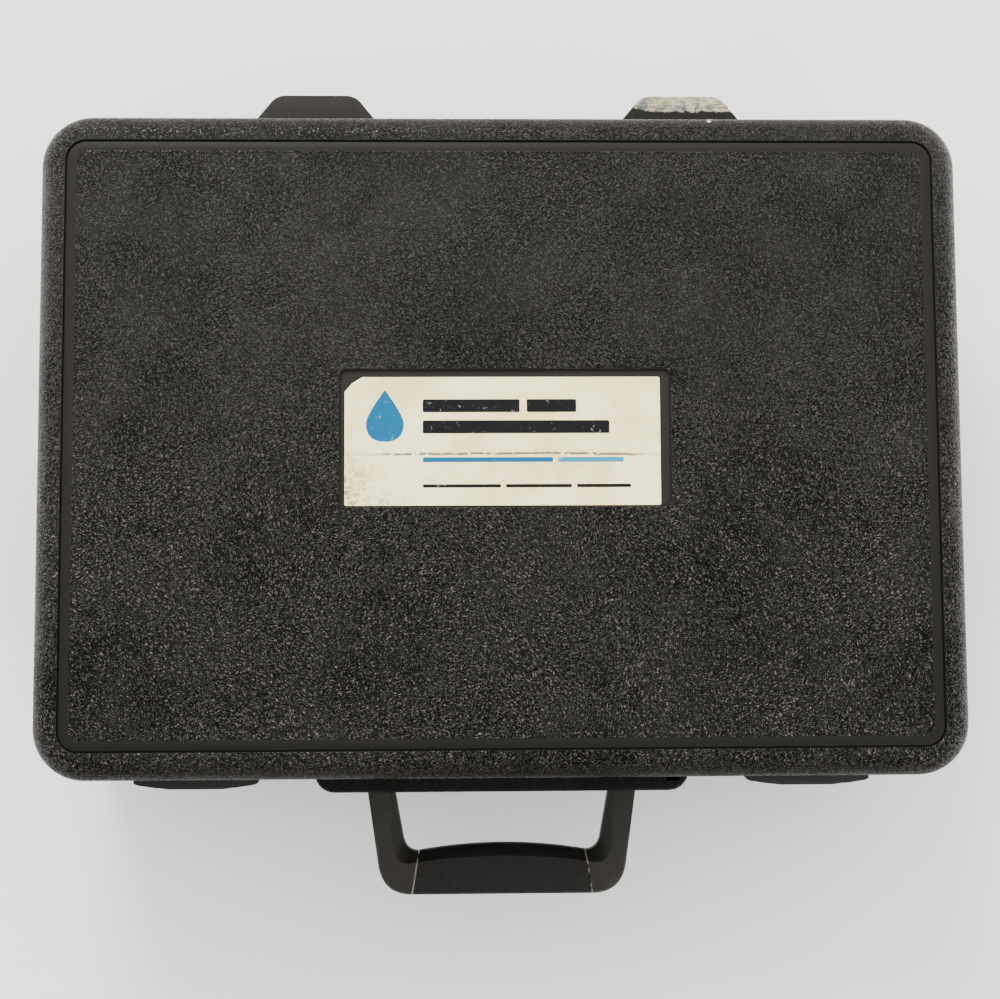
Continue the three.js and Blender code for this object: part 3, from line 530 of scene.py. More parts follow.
def apply_modifiers(made, sharp=35.0):
    graph = bpy.context.evaluated_depsgraph_get()
    graph.update()
    mesh = bpy.data.meshes.new_from_object(made.evaluated_get(graph))
    old = made.data
    made.modifiers.clear()
    made.data = mesh
    bpy.data.meshes.remove(old)
    shade(made, sharp)


def bevel(made, width, segments=3, angle=28.0, sharp=40.0):
    tool = made.modifiers.new("edge", "BEVEL")
    tool.width = width * MM
    tool.segments = segments
    tool.limit_method = "ANGLE"
    tool.angle_limit = math.radians(angle)
    tool.use_clamp_overlap = True
    apply_modifiers(made, sharp)


def combine(made, others, operation):
    for other in others:
        tool = made.modifiers.new("cut", "BOOLEAN")
        tool.object = other
        tool.operation = operation
        tool.solver = "EXACT"
    apply_modifiers(made)
    for other in others:
        bpy.data.objects.remove(other)


def place(made, body, nodes=(), slot=None):
    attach(made, body)
    if nodes:
        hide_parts(*nodes)
    return made


LEAST_R = 0.6


def rounded(w, d, r, z, x=0.0, y=0.0, steps=14):
    """A ring of points round a rectangle with rounded corners."""
    ring = []
    r = max(r, LEAST_R)
    for sx, sy, quarter in ((1, 1, 0), (-1, 1, 1), (-1, -1, 2), (1, -1, 3)):
        for i in range(steps + 1):
            a = (quarter + i / steps) * math.pi / 2
            ring.append((x + sx * (w / 2 - r) + r * math.cos(a), y + sy * (d / 2 - r) + r * math.sin(a), z))
    return ring


def loft(name, rings, material, sharp=35.0):
    n = len(rings[0])
    points = [p for ring in rings for p in ring]
    faces = []
    for k in range(len(rings) - 1):
        for i in range(n):
            j = (i + 1) % n
            faces.append((k * n + i, k * n + j, (k + 1) * n + j, (k + 1) * n + i))
    faces.append(tuple(reversed(range(n))))
    faces.append(tuple(range((len(rings) - 1) * n, len(rings) * n)))
    return build(name, points, faces, material, sharp)


def block(x0, x1, y0, y1, z0, z1, r=LEAST_R, name="cutter", material=None):
    w, d = x1 - x0, y1 - y0
    x, y = (x0 + x1) / 2, (y0 + y1) / 2
    rings = [rounded(w, d, r, z, x, y, 4) for z in (z0, z1)]
    return loft(name, rings, material or LID_PLASTIC)


def lathe(name, profile, x, y, z, material, sides=40, axis="Z"):
    """A profile of (radius, height) turned about Z, or about Y for what lies down."""
    points = []
    rings = []
    for r, h in profile:
        start = len(points)
        if r < 1e-6:
            points.append((0.0, 0.0, h))
            rings.append([start] * sides)
        else:
            for i in range(sides):
                a = 2 * math.pi * i / sides
                points.append((r * math.cos(a), r * math.sin(a), h))
            rings.append(list(range(start, start + sides)))
    if axis == "Y":
        points = [(a, c, b) for a, b, c in points]
    faces = []
    for low, high in zip(rings, rings[1:]):
        for i in range(sides):
            j = (i + 1) % sides
            corners = list(dict.fromkeys((low[i], low[j], high[j], high[i])))
            if len(corners) > 2:
                faces.append(tuple(corners))
    return build(name, [(p[0] + x, p[1] + y, p[2] + z) for p in points], faces, material, 32.0)


def sleeve(inner, outer, start, end):
    """The closed profile of a thin band, to turn with lathe."""
    return [(inner, start), (outer, start), (outer, end), (inner, end), (inner, start)]


def prism(name, outline, along, start, end, material):
    """A closed outline swept straight along one axis: outline holds the two other coordinates."""
    order = {"X": lambda a, b, t: (t, a, b), "Z": lambda a, b, t: (a, b, t)}[along]
    n = len(outline)
    points = [order(a, b, t) for t in (start, end) for a, b in outline]
    faces = [tuple(reversed(range(n))), tuple(range(n, 2 * n))]
    faces += [(i, (i + 1) % n, n + (i + 1) % n, n + i) for i in range(n)]
    return build(name, points, faces, material, 30.0)


def curve_to(points, control, end, steps=10):
    """Adds a quadratic curve from the last point to end."""
    x0, y0 = points[-1]
    for i in range(1, steps + 1):
        t = i / steps
        a, b, c = (1 - t) ** 2, 2 * t * (1 - t), t * t
        points.append((a * x0 + b * control[0] + c * end[0], a * y0 + b * control[1] + c * end[1]))


# ---------- shells


def shell_ring(inset, z, steps=16):
    return rounded(2 * (HALF_W - inset), 2 * (HALF_D - inset), CORNER_R - inset, z, steps=steps)


def wall_profile(height, radius, skin, direction, start):
    """Insets and heights of a drafted wall that turns over a quarter round."""
    straight = height - radius
    levels = [(skin, start)]
    for i in range(11):
        a = i / 10 * math.pi / 2
        rise = straight + (radius - skin) * math.sin(a)
        inset = straight * DRAFT + radius - (radius - skin) * math.cos(a)
        levels.append((inset, PARTING + direction * rise))
    return levels


def make_lid():
    height = TOP - PARTING
    edge = PARTING + PARTING_GAP
    outer = [shell_ring(i, z) for i, z in wall_profile(height, LID_ROUND, 0.0, 1, edge)]
    inner = [shell_ring(i, z) for i, z in wall_profile(height, LID_ROUND, WALL, 1, edge)]
    pw, pd = PANEL_HALF
    near = GROOVE + STRIP
    # The panel from its edge inward: how far in, how far below the top, how much tighter the corner.
    levels = [(0.0, 0.02, 0.0), (0.1, 0.2, 0.1), (0.15, GROOVE_DROP, 0.15)]
    levels += [(GROOVE - 0.05, GROOVE_DROP, GROOVE), (GROOVE, STRIP_DROP + 0.1, GROOVE)]
    levels += [(GROOVE + 0.15, STRIP_DROP, GROOVE), (near - 0.15, STRIP_DROP, near)]
    levels += [(near, STRIP_DROP + 0.03, near), (near + 0.3, PANEL_DROP, near)]
    levels.append((near + 0.8, PANEL_DROP, near))
    top = []
    for shrink, drop, tighter in levels:
        w, d = 2 * (pw - shrink), 2 * (pd - shrink)
        top.append(rounded(w, d, PANEL_R - tighter, TOP - drop, steps=16))
    rw, rd = RECESS_SIZE
    cx, cy = RECESS_AT
    well = []
    flat = PANEL_DROP
    for grow, drop, r in ((1.6, flat, 3.8), (0.6, flat, 3.3), (0, flat + 0.2, 3.0), (-0.4, 1.8, 2.8)):
        well.append(rounded(rw + grow, rd + grow, r, TOP - drop, cx, cy, 16))
    lid = loft("lid_moulding", list(reversed(inner)) + outer + top + well, LID_PLASTIC, 30.0)
    cuts = []
    extras = []
    half = RECESS_HALF
    for x in (-LATCH_X, LATCH_X):
        extras.append(block(x - PAD_HALF, x + PAD_HALF, PAD_Y, LATCH_FLOOR + WALL, edge, 101, 1.0))
        cuts.append(block(x - half, x + half, WALL_Y - 8, LATCH_FLOOR, PARTING - 2, 97, 0.8))
    combine(lid, extras, "UNION")
    combine(lid, cuts, "DIFFERENCE")
    keepers = [
        block(x - 19, x + 19, LATCH_FLOOR - 2.7, LATCH_FLOOR + 1, 86.5, 89.0, 0.7)
        for x in (-LATCH_X, LATCH_X)
    ]
    reach = LID_KNUCKLE_HALF
    knuckles = [make_knuckle(x, reach, LID_PLASTIC) for x in (-HINGE.x, HINGE.x)]
    webs = [block(x - reach, x + reach, HALF_D - 2, HINGE.y, edge, 83.8) for x in (-HINGE.x, HINGE.x)]
    combine(lid, keepers + knuckles + webs, "UNION")
    return lid


def make_knuckle(x, half, material):
    """A hinge knuckle lying along the hinge axis at x."""
    profile = [(0, -half), (KNUCKLE_R, -half), (KNUCKLE_R, half), (0, half)]
    knuckle = lathe("knuckle", profile, 0, 0, 0, material, 28)
    place_at = Matrix.Translation(Vector((x, HINGE.y, HINGE.z)) * MM)
    knuckle.data.transform(place_at @ Matrix.Rotation(math.pi / 2, 4, "Y"))
    return knuckle


def make_base():
    outer = [shell_ring(i, z) for i, z in reversed(wall_profile(PARTING, BASE_ROUND, 0.0, -1, PARTING))]
    inner = [shell_ring(i, z) for i, z in wall_profile(PARTING, BASE_ROUND, WALL, -1, PARTING)]
    lip = [shell_ring(inset, PARTING + z) for inset, z in ((3.5, 0), (3.5, 3), (5, 3), (5, 0))]
    base = loft("base_moulding", outer + lip + inner[1:], BASE_PLASTIC, 30.0)
    front = WALL_Y - BAR_REACH
    bar = [(-BAR_HALF, WALL_Y + 2), (BAR_HALF, WALL_Y + 2), (BAR_HALF, WALL_Y)]
    curve_to(bar, (BAR_HALF - 2, front), (BAR_HALF - 10, front))
    bar.append((-BAR_HALF + 10, front))
    curve_to(bar, (-BAR_HALF + 2, front), (-BAR_HALF, WALL_Y))
    housing = prism("bar", bar, "Z", 54.0, 78.0, BASE_PLASTIC)
    bevel(housing, 1.6, 4)
    extras = [housing]
    cuts = [block(73.0, 79.0, WALL_Y - 4.6, WALL_Y - 1.0, 73.0, 80.5, 0.8)]
    pin_low, pin_high = span("latch_pin_right")
    ear_half = (pin_high.x - pin_low.x) / 2 + 1.4
    ear_low, ear_high = LATCH_PIN.z - 3.2, LATCH_PIN.z + 3.2
    for s in (-1, 1):
        x = s * LATCH_X
        # Ears at the ends of the latch pin, standing half a millimetre off the drafted wall.
        extras.append(block(x - ear_half, x + ear_half, WALL_Y, WALL_Y + 4, ear_low, ear_high, 0.8))
        extras.append(block(x - PAD_HALF, x + PAD_HALF, PAD_Y, LATCH_FLOOR + WALL, 50, PARTING, 1.0))
        half = RECESS_HALF
        cuts.append(block(x - half, x + half, WALL_Y - 12, LATCH_FLOOR, 56.5, PARTING + 9, 0.8))
        a, b = sorted((s * 47.1, s * 61.7))
        extras.append(block(a - 4, b + 4, PAD_Y, WALL_Y + 5.6, 46, 78, 1.0))
        cuts.append(block(a, b, WALL_Y - 14, PIVOT.y + 5.6, 50, 72.2, 0.8))
        for lug_x in (s * HINGE.x - LUG_X, s * HINGE.x + LUG_X):
            extras.append(make_knuckle(lug_x, LUG_HALF, BASE_PLASTIC))
            x0, x1 = lug_x - LUG_HALF, lug_x + LUG_HALF
            extras.append(block(x0, x1, HALF_D - 2, HINGE.y + KNUCKLE_R, 70.5, 79.8))
    combine(base, extras, "UNION")
    combine(base, cuts, "DIFFERENCE")
    return base


def make_foot(side, sign, material):
    low, high = span(f"rear_foot_{side}")
    y0, y1 = low.y, high.y
    outline = [(-36.0, y0), (36.0, y0), (21.4, y1 - 4.2)]
    curve_to(outline, (18.6, y1), (13.5, y1), 8)
    outline.append((-13.5, y1))
    curve_to(outline, (-18.6, y1), (-21.4, y1 - 4.2), 8)
    outline = [(x + sign * HINGE.x, y) for x, y in outline]
    foot = prism(f"rear_foot_shape_{side}", outline, "Z", low.z, high.z, material)
    z0 = low.z
    slope = [(y0 - 9, z0 - 9), (y1 + 5, z0 - 9), (y1 + 5, z0 + 12), (y1 - 6, z0 + 2.5), (y0 - 9, z0)]
    x = sign * HINGE.x
    under = prism("under", slope, "X", x - 40, x + 40, material)
    gap = block(x - 23, x + 23, y0 - 5, HINGE.y + 4.2, 70.0, 80.0)
    combine(foot, [under, gap], "DIFFERENCE")
    bevel(foot, 1.3, 3)
    return foot


def make_latch(side, sign):
    """A faceted latch plate standing 4 degrees off its hook."""
    pin = Vector((sign * LATCH_X, LATCH_PIN.y, LATCH_PIN.z))
    half, front, rear, top = 26.75, -4.25, 2.1, 34.0
    plan = [(-half, rear), (half, rear), (half, front + 2.8), (half - 1.8, front + 2.0), (11.5, front)]
    plan += [(-11.5, front), (-half + 1.8, front + 2.0), (-half, front + 2.8)]
    latch = prism(f"latch_plate_{side}", plan, "Z", -2.7, top, LATCH_PLASTIC)
    pocket = block(-20.5, 20.5, rear - 2.6, rear + 2, 20.5, 28.5)
    lip = block(-half - 1, half + 1, front - 2, front + 0.8, top - 1.2, top + 2)
    combine(latch, [pocket, lip], "DIFFERENCE")
    bevel(latch, 0.55, 3)
    for i in range(3):
        rib = block(-9, 9, front - 0.1, front + 0.8, 3.0 + 2.2 * i, 4.1 + 2.2 * i)
        combine(latch, [rib], "DIFFERENCE")
    turn = Matrix.Translation(pin * MM) @ Matrix.Rotation(math.radians(4), 4, "X")
    latch.data.transform(turn)
    return latch


# ---------- handle
ROOT = PIVOT.y + 5.0


def handle_ring(z, rim, mouth):
    """The handle's outline at height z, drawn in by rim outside and by mouth round its opening."""
    leg_out, leg_in = 60.4 - rim, 48.3 + mouth
    out, lip = OUT + rim, OUT + 18.6 - mouth
    points = [(leg_out, ROOT), (leg_out, LEG_FRONT), (leg_out - 4.6, out + 15)]
    curve_to(points, (leg_out - 6, out), (leg_out - 20, out), 16)
    points.append((-leg_out + 20, out))
    curve_to(points, (-leg_out + 6, out), (-leg_out + 4.6, out + 15), 16)
    points += [(-leg_out, LEG_FRONT), (-leg_out, ROOT), (-leg_in, ROOT), (-leg_in, LEG_FRONT)]
    points.append((-leg_in + 3.9, lip + 7.4))
    curve_to(points, (-leg_in + 4.9, lip), (-leg_in + 11, lip))
    curve_to(points, (0, lip + 6.4), (leg_in - 11, lip), 22)
    curve_to(points, (leg_in - 4.9, lip), (leg_in - 3.9, lip + 7.4))
    points += [(leg_in, LEG_FRONT), (leg_in, ROOT)]
    return [(x, y, z) for x, y in points]


def make_handle(name, keep_grip):
    levels = [(-8, 1.2, 4.6), (-6.9, 0.3, 3.6), (-3.6, 0, 0.7), (-2.4, 0, 0), (2.4, 0, 0), (3.6, 0, 0.7),
              (6.9, 0.3, 3.6), (8, 1.2, 4.6)]
    rings = [handle_ring(PIVOT.z + z, rim, mouth) for z, rim, mouth in levels]
    handle = loft(name, rings, HANDLE_PLASTIC, 24.0)
    side = []
    for i in range(13):
        a = -math.pi / 2 + math.pi * i / 12
        side.append((PIVOT.y + 5 * math.cos(a), PIVOT.z + 5 * math.sin(a)))
    side += [(PIVOT.y - 10, PIVOT.z + 5), (OUT + 24, PIVOT.z + 8), (OUT - 2, PIVOT.z + 8)]
    side += [(OUT - 2, PIVOT.z - 8), (OUT + 24, PIVOT.z - 8), (PIVOT.y - 10, PIVOT.z - 5)]
    combine(handle, [prism("side", side, "X", -70, 70, HANDLE_PLASTIC)], "INTERSECT")
    grow = 0.0 if keep_grip else 0.12
    zone = [(-41 - grow, OUT - 5), (41 + grow, OUT - 5), (35.5 + grow, OUT + 30), (-35.5 - grow, OUT + 30)]
    wedge = prism("zone", zone, "Z", PIVOT.z - 20, PIVOT.z + 20, HANDLE_PLASTIC)
    combine(handle, [wedge], "INTERSECT" if keep_grip else "DIFFERENCE")
    return handle


def make_handle_pieces():
    legs = make_handle("handle_legs", False)
    grip = make_handle("handle_grip_shape", True)
    tunnel = [block(-50, 50, OUT + 2.4, OUT + 16.6, PIVOT.z - 5.2, PIVOT.z + 5.2)]
    combine(grip, tunnel, "DIFFERENCE")
    for made in (legs, grip):
        bevel(made, 0.5, 2, 30.0, 24.0)
    core = block(-46, 46, OUT + 2.5, OUT + 16.5, PIVOT.z - 5, PIVOT.z + 5, LEAST_R, "core", HANDLE_PLASTIC)
    combine(legs, [core], "UNION")
    return legs, grip


# ---------- label
LABEL_LOW, LABEL_HIGH = span("label_plate")
INK_THICK = 0.05


def make_label():
    x0, x1, y0, y1 = LABEL_LOW.x, LABEL_HIGH.x, LABEL_LOW.y, LABEL_HIGH.y
    r = 1.0
    outline = [(x0 + r, y0), (x1 - r, y0)]
    curve_to(outline, (x1, y0), (x1, y0 + r), 4)
    outline.append((x1, y1 - r))
    curve_to(outline, (x1, y1), (x1 - r, y1), 4)
    outline += [(x0 + 7.4, y1), (x0 + 3.2, y1 - 2.6), (x0, y1 - 6.2), (x0, y0 + r)]
    curve_to(outline, (x0, y0), (x0 + r, y0), 4)
    outline.pop()
    return prism("label_sheet", outline, "Z", LABEL_LOW.z, LABEL_HIGH.z, LABEL_VINYL)


def make_print():
    """Generic marks only: a drop, and plain bars where a printed label has its lines."""
    x0, y1 = LABEL_LOW.x, LABEL_HIGH.y
    marks = []
    drop = [(x0 + 17, y1 - 5.5)]
    turns = [(25.5, 17, 25.0, 20.5), (24.5, 27.5, 17, 27.5), (9.5, 27.5, 9.0, 20.5), (8.5, 17, 17, 5.5)]
    for a, b, c, d in turns:
        curve_to(drop, (x0 + a, y1 - b), (x0 + c, y1 - d))
    drop.pop()
    z0 = LABEL_HIGH.z + 0.01
    z1 = z0 + INK_THICK
    marks.append(prism("label_drop", drop, "Z", z0, z1, INK_BLUE))
    # Each bar's left, right, top and bottom in mm from the label's rear left corner.
    bars = [
        (33, 74, 9.5, 15.0, INK_DARK),
        (77, 98, 9.5, 15.0, INK_DARK),
        (33, 112, 18.5, 24.0, INK_DARK),
        (33, 88, 34.2, 36.2, INK_BLUE),
        (90, 118, 34.2, 36.2, INK_TEAL),
        (33, 66, 45.6, 47.0, INK_DARK),
        (68, 96, 45.6, 47.0, INK_DARK),
        (98, 121, 45.6, 47.0, INK_DARK),
    ]
    for letter, (a, b, top, bottom, ink) in zip("abcdefgh", bars):
        name = f"label_bar_{letter}"
        marks.append(block(x0 + a, x0 + b, y1 - bottom, y1 - top, z0, z1, LEAST_R, name, ink))
    return marks


# ---------- foam and contents


def softened(node, name, material, width, segments=2, angle=50.0):
    """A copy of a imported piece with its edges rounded."""
    made = add(name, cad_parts[node].data.copy())
    made.data.materials.clear()
    made.data.materials.append(material)
    bm = bmesh.new()
    bm.from_mesh(made.data)
    bmesh.ops.remove_doubles(bm, verts=bm.verts, dist=1e-6)
    bmesh.ops.dissolve_limit(bm, angle_limit=math.radians(1), verts=bm.verts, edges=bm.edges)
    bm.to_mesh(made.data)
    bm.free()
    bevel(made, width, segments, angle, 30.0)
    return made


def make_comparator():
    """The viewing block, with frosted screens in its windows and finger grooves on each side."""
    low, high = span("comparator_viewer")
    body = softened("comparator_viewer", "comparator_block", VIEWER, 0.7, 3)
    grooves = []
    for x in (low.x - 1, high.x - 1):
        for k in range(5):
            z = high.z - 9 - 3 * k
            grooves.append(block(x, x + 2, low.y + 8, high.y - 8, z, z + 1.2))
    combine(body, grooves, "DIFFERENCE")
    place(body, "base", ["comparator_viewer"], "viewer_plastic")
    y, z0, z1 = high.y - 2.4, low.z + 12.3, low.z + 33.7
    for x in (-15.0, 15.0):
        screen = block(x - 3.2, x + 3.2, y, y + 1.2, z0, z1, LEAST_R, "screen", FROSTED)
        place(screen, "base")


def make_slide():
    """The sliding scale: a bar with a row of tinted chips, pale to deep."""
    low, high = span("color_slide")
    bar = softened("color_slide", "scale_bar", SLIDE, 0.45)
    place(bar, "color_slide", ["color_slide"], "slide_plastic")
    step = (high.y - low.y) / CHIP_COUNT
    for i, tint in enumerate(CHIPS):
        y = low.y + (i + 0.5) * step
        chip = block(-4.2, 4.2, y - 3.9, y + 3.9, 40.15, 51.85, LEAST_R, f"scale_chip_{i}", tint)
        place(chip, "color_slide")


def make_tablet_box():
    """A clear tray of reagent tablets under a blue lid with a sunk panel."""
    tray = softened("tablet_box_base", "tablet_tray", CLEAR, 0.35)
    place(tray, "base", ["tablet_box_base"], "clear_plastic")
    low, high = span("tablet_box_lid")
    lid = softened("tablet_box_lid", "tablet_cover", CAP_BLUE, 0.6, 3)
    rim = 7.0
    z = high.z - 0.5
    sunk = block(low.x + rim, high.x - rim, low.y + rim, high.y - rim, z, high.z + 1, 3.0)
    combine(lid, [sunk], "DIFFERENCE")
    place(lid, "tablet_box_lid", ["tablet_box_lid"], "blue_cap")
    tray_low = span("tablet_box_base")[0]
    pill = [(0, 0), (3.6, 0), (4.2, 0.5), (4.2, 2.5), (3.6, 3.1), (0, 3.3)]
    for row in range(5):
        for column in range(7):
            x = tray_low.x + 11 + 12.3 * column
            y = tray_low.y + 9 + 12.0 * row
            tablet = lathe(f"tablet_{row}_{column}", pill, x, y, tray_low.z + 2.2, TABLET, 20)
            place(tablet, "base")


def make_booklet():
    """A stapled booklet: two covers, page edges a little inside them, and plain printed bars."""
    low, high = span("instruction_booklet")
    x, y, _ = centre("instruction_booklet")
    w, d = high.x - low.x, high.y - low.y
    rings = []
    for k in range(9):
        inset = 0.9 if k % 2 else 0.5
        rings.append(rounded(w - inset, d - inset, 1.5, low.z + 0.3 + 0.3 * k, x, y, 4))
    pages = loft("booklet_pages", rings, PAPER, 20.0)
    place(pages, "base", ["instruction_booklet"], "booklet_paper")
    for name, z0, z1 in (("booklet_cover", 2.75, 3.2), ("booklet_back", 0.0, 0.25)):
        sheet = [rounded(w, d, 2.0, low.z + z, x, y, 6) for z in (z0, z1)]
        place(loft(name, sheet, COVER), "base")
    top = low.z + 3.21
    left = x - w * 0.4
    # Each bar's place along the cover and its width, as shares of the cover, and its depth in mm.
    bars = [(0.90, 0.62, 6.0, INK_BLUE), (0.84, 0.42, 3.0, INK_BLUE)]
    bars += [(0.14, 0.50, 2.0, INK_DARK), (0.10, 0.34, 2.0, INK_DARK)]
    for i, (along, wide, tall, ink) in enumerate(bars):
        y0 = low.y + d * along
        name = f"booklet_bar_{i}"
        bar = block(left, left + w * wide, y0, y0 + tall, top, top + 0.05, LEAST_R, name, ink)
        place(bar, "base")
    x0 = low.x + 1.6
    for i, along in enumerate((0.25, 0.75)):
        y0 = low.y + d * along
        z0, z1 = top - 0.02, top + 0.25
        staple = block(x0, x0 + 0.7, y0 - 5, y0 + 5, z0, z1, LEAST_R, f"staple_{i}", STEEL)
        place(staple, "base")


def make_egg_foam():
    """Convoluted foam: rows of soft peaks facing the contents."""
    low, high = span("lid_foam")
    pitch = 16.0
    nx, ny = 150, 106
    margin = 0.4
    x0, x1, y0, y1 = low.x + margin, high.x - margin, low.y + margin, high.y - margin
    points = []
    r = 13.0
    for j in range(ny + 1):
        for i in range(nx + 1):
            x = x0 + (x1 - x0) * i / nx
            y = y0 + (y1 - y0) * j / ny
            over_x = max(abs(x) - (x1 - r), 0.0)
            over_y = max(abs(y) - (y1 - r), 0.0)
            over = math.hypot(over_x, over_y)
            if over > r:
                x -= math.copysign(over_x * (1 - r / over), x)
                y -= math.copysign(over_y * (1 - r / over), y)
            wave = 0.5 - 0.5 * math.cos(2 * math.pi * x / pitch) * math.cos(2 * math.pi * y / pitch)
            points.append((x, y, low.z + 0.2 + 5.6 * wave))
    count = len(points)
    points += [(x, y, high.z) for x, y, _ in points]
    faces = []
    row = nx + 1
    for j in range(ny):
        for i in range(nx):
            a = j * row + i
            faces.append((a, a + row, a + row + 1, a + 1))
            faces.append((count + a, count + a + 1, count + a + row + 1, count + a + row))
    for i in range(nx):
        for a, b in ((i, i + 1), (ny * row + i + 1, ny * row + i)):
            faces.append((a, b, count + b, count + a))
    for j in range(ny):
        for a, b in (((j + 1) * row, j * row), (j * row + nx, (j + 1) * row + nx)):
            faces.append((a, b, count + b, count + a))
    return build("lid_egg_foam", points, faces, FOAM_LOOK, 60.0)


def make_bottle(node, name, band, neck_share):
    low, high = span(node)
    x, y, _ = centre(node)
    r, h = (high.y - low.y) / 2 - 0.05, high.z - low.z
    shoulder = h * 0.72
    neck = r * neck_share
    profile = [(0, 0.8), (r * 0.7, 0.8), (r * 0.8, 0.1), (r - 1.6, 0.1), (r - 0.5, 0.6), (r, 1.9)]
    profile.append((r, shoulder - 3))
    for i in range(9):
        a = i / 8 * math.pi / 2
        profile.append((neck + (r - neck) * math.cos(a), shoulder - 3 + (h * 0.17) * math.sin(a)))
    profile += [(neck, h - 0.6), (neck - 0.6, h), (0, h)]
    place(lathe(name, profile, x, y, low.z, HDPE, 44), "base", [node], "bottle_plastic")
    wrap = sleeve(r - 0.3, r + 0.16, 8.0, shoulder - 8)
    place(lathe(f"{name}_band", wrap, x, y, low.z, band, 44), "base")


CAP_SIDES = 96
RIB_DEPTH = 0.42
CAP_WALLS = {"bottle_cap": 1.4, "sample_cap": 1.8, "tube_cap": 1.3}


def make_cap(node, name, body, material, slot):
    """A ribbed screw or push cap, hollow beneath."""
    low, high = span(node)
    x, y, _ = centre(node)
    r, h = (high.y - low.y) / 2, high.z - low.z
    bore = r - CAP_WALLS[node.rstrip("_0123456789")]
    inside = [(bore, h - 1.9, False), (bore, 0.0, False), (r - 0.5, 0.0, False)]
    ribs = [(r - 0.1, 0.9, True), (r - 0.5, h - 2.2, True)]
    crown = [(r - 0.9, h - 0.9), (r - 1.8, h - 0.05), (r * 0.62, h - 0.05), (r * 0.58, h - 0.5)]
    rings = []
    for radius, height, ribbed in inside + ribs + [(*level, False) for level in crown]:
        ring = []
        for i in range(CAP_SIDES):
            a = 2 * math.pi * i / CAP_SIDES
            reach = radius - (RIB_DEPTH if ribbed and (i // 2) % 2 else 0.0)
            ring.append((x + reach * math.cos(a), y + reach * math.sin(a), low.z + height))
        rings.append(ring)
    place(loft(name, rings, material, 30.0), body, [node], slot)


def make_tube(i):
    """A flat-bottomed glass tube with a fill line."""
    node = f"test_tube_{i}"
    low, high = span(node)
    x, y, _ = centre(node)
    h = high.z - low.z
    r, bore, floor, round_out, round_in = 7.9, 6.8, 1.8, 2.4, 1.6
    outer, inner = [(0.0, 0.0)], [(0.0, floor)]
    for step in range(9):
        a = step / 8 * math.pi / 2
        drawn_in, rise = 1 - math.sin(a), 1 - math.cos(a)
        outer.append((r - round_out * drawn_in, round_out * rise))
        inner.append((bore - round_in * drawn_in, floor + round_in * rise))
    rim = [(r, h - 1), (r - 0.3, h), (bore + 0.2, h), (bore, h - 1)]
    profile = outer + rim + list(reversed(inner))
    place(lathe(f"tube_{i}", profile, x, y, low.z, GLASS, 36), "base", [node], "tube_glass")
    line = sleeve(r - 0.1, r + 0.08, 41.0, 42.0)
    place(lathe(f"tube_line_{i}", line, x, y, low.z, INK_DARK, 36), "base")


BARREL_LENGTH = 74.0  # from the flange to the start of the tip


def make_titrator(i):
    """A barrel with a flange, a tip and graduations, and the plunger inside it."""
    low, _ = span(f"titrator_barrel_{i}")
    x, _, z = centre(f"titrator_barrel_{i}")
    end = BARREL_LENGTH
    barrel = [(3.4, 0.1), (7.4, 0.1), (7.5, 0.8), (7.3, 1.8), (4.6, 1.9), (4.6, end - 6)]
    barrel += [(3.4, end - 3.4), (1.4, end), (1.3, end + 7.9), (0.7, end + 7.9), (0.7, end - 7)]
    barrel += [(3.4, end - 9), (3.4, 0.1)]
    tube = lathe(f"titrator_tube_{i}", barrel, x, low.y, z, CLEAR, 36, "Y")
    place(tube, "base", [f"titrator_barrel_{i}"], "clear_plastic")
    for k in range(11):
        y = 8.0 + 5.2 * k
        wide = 0.35 if k % 5 else 0.6
        mark = sleeve(4.5, 4.68, y, y + wide)
        place(lathe(f"titrator_mark_{i}_{k}", mark, x, low.y, z, INK_DARK, 28, "Y"), "base")
    node = f"titrator_plunger_{i}"
    low, high = span(node)
    end = high.y - low.y
    rod = [(0, 0), (5.6, 0), (6.0, 0.5), (5.8, 1.8), (2.2, 2.2), (1.8, 3.0), (1.8, end - 10.4)]
    rod += [(3.05, end - 9.9), (3.05, end - 8.2), (2.4, end - 7.6), (2.4, end - 3.2)]
    rod += [(3.05, end - 2.6), (3.05, end - 0.9), (0, end)]
    place(lathe(f"plunger_{i}", rod, x, low.y, z, CAP_WHITE, 32, "Y"), node, [node], "white_cap")


def keep(node, material):
    """A CAD node whose shape is right stays and gets a finished material."""
    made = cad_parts[node]
    if not made.material_slots:
        made.data.materials.append(material)
    for slot in made.material_slots:
        slot.material = material


# ---------- camera, light and floor


def make_camera():
    camera = add("camera", bpy.data.cameras.new("camera"))
    camera.data.lens = 53.0
    camera.data.sensor_width = 36.0
    camera.location = (-0.0157, -0.0703, 0.7376)
    camera.rotation_euler = [math.radians(a) for a in (4.21, -1.31, -0.30)]
    bpy.context.scene.camera = camera


def make_light(name, location, size, power):
    data = bpy.data.lights.new(name, "AREA")
    data.size = size
    data.energy = power
    light = add(name, data)
    light.location = location
    aim = Vector((0, 0, 0.06)) - Vector(location)
    light.rotation_euler = aim.to_track_quat("-Z", "Y").to_euler()


def make_stage():
    size = 6.0
    points = [(-size, -size), (size, -size), (size, size), (-size, size)]
    g = Graph("floor_paper")
    g.set(color=g.mix(g.noise(0.004, 3.0), (0.93, 0.93, 0.925), (0.95, 0.95, 0.945)), rough=0.85)
    floor = build("floor", [(x / MM, y / MM, -0.4) for x, y in points], [(0, 1, 2, 3)], g.material)
    make_sky()
    make_light("key_rear", (-0.35, 1.30, 1.15), 0.6, 40.0)
    make_light("fill_front", (0.75, -1.15, 1.15), 0.22, 11.0)


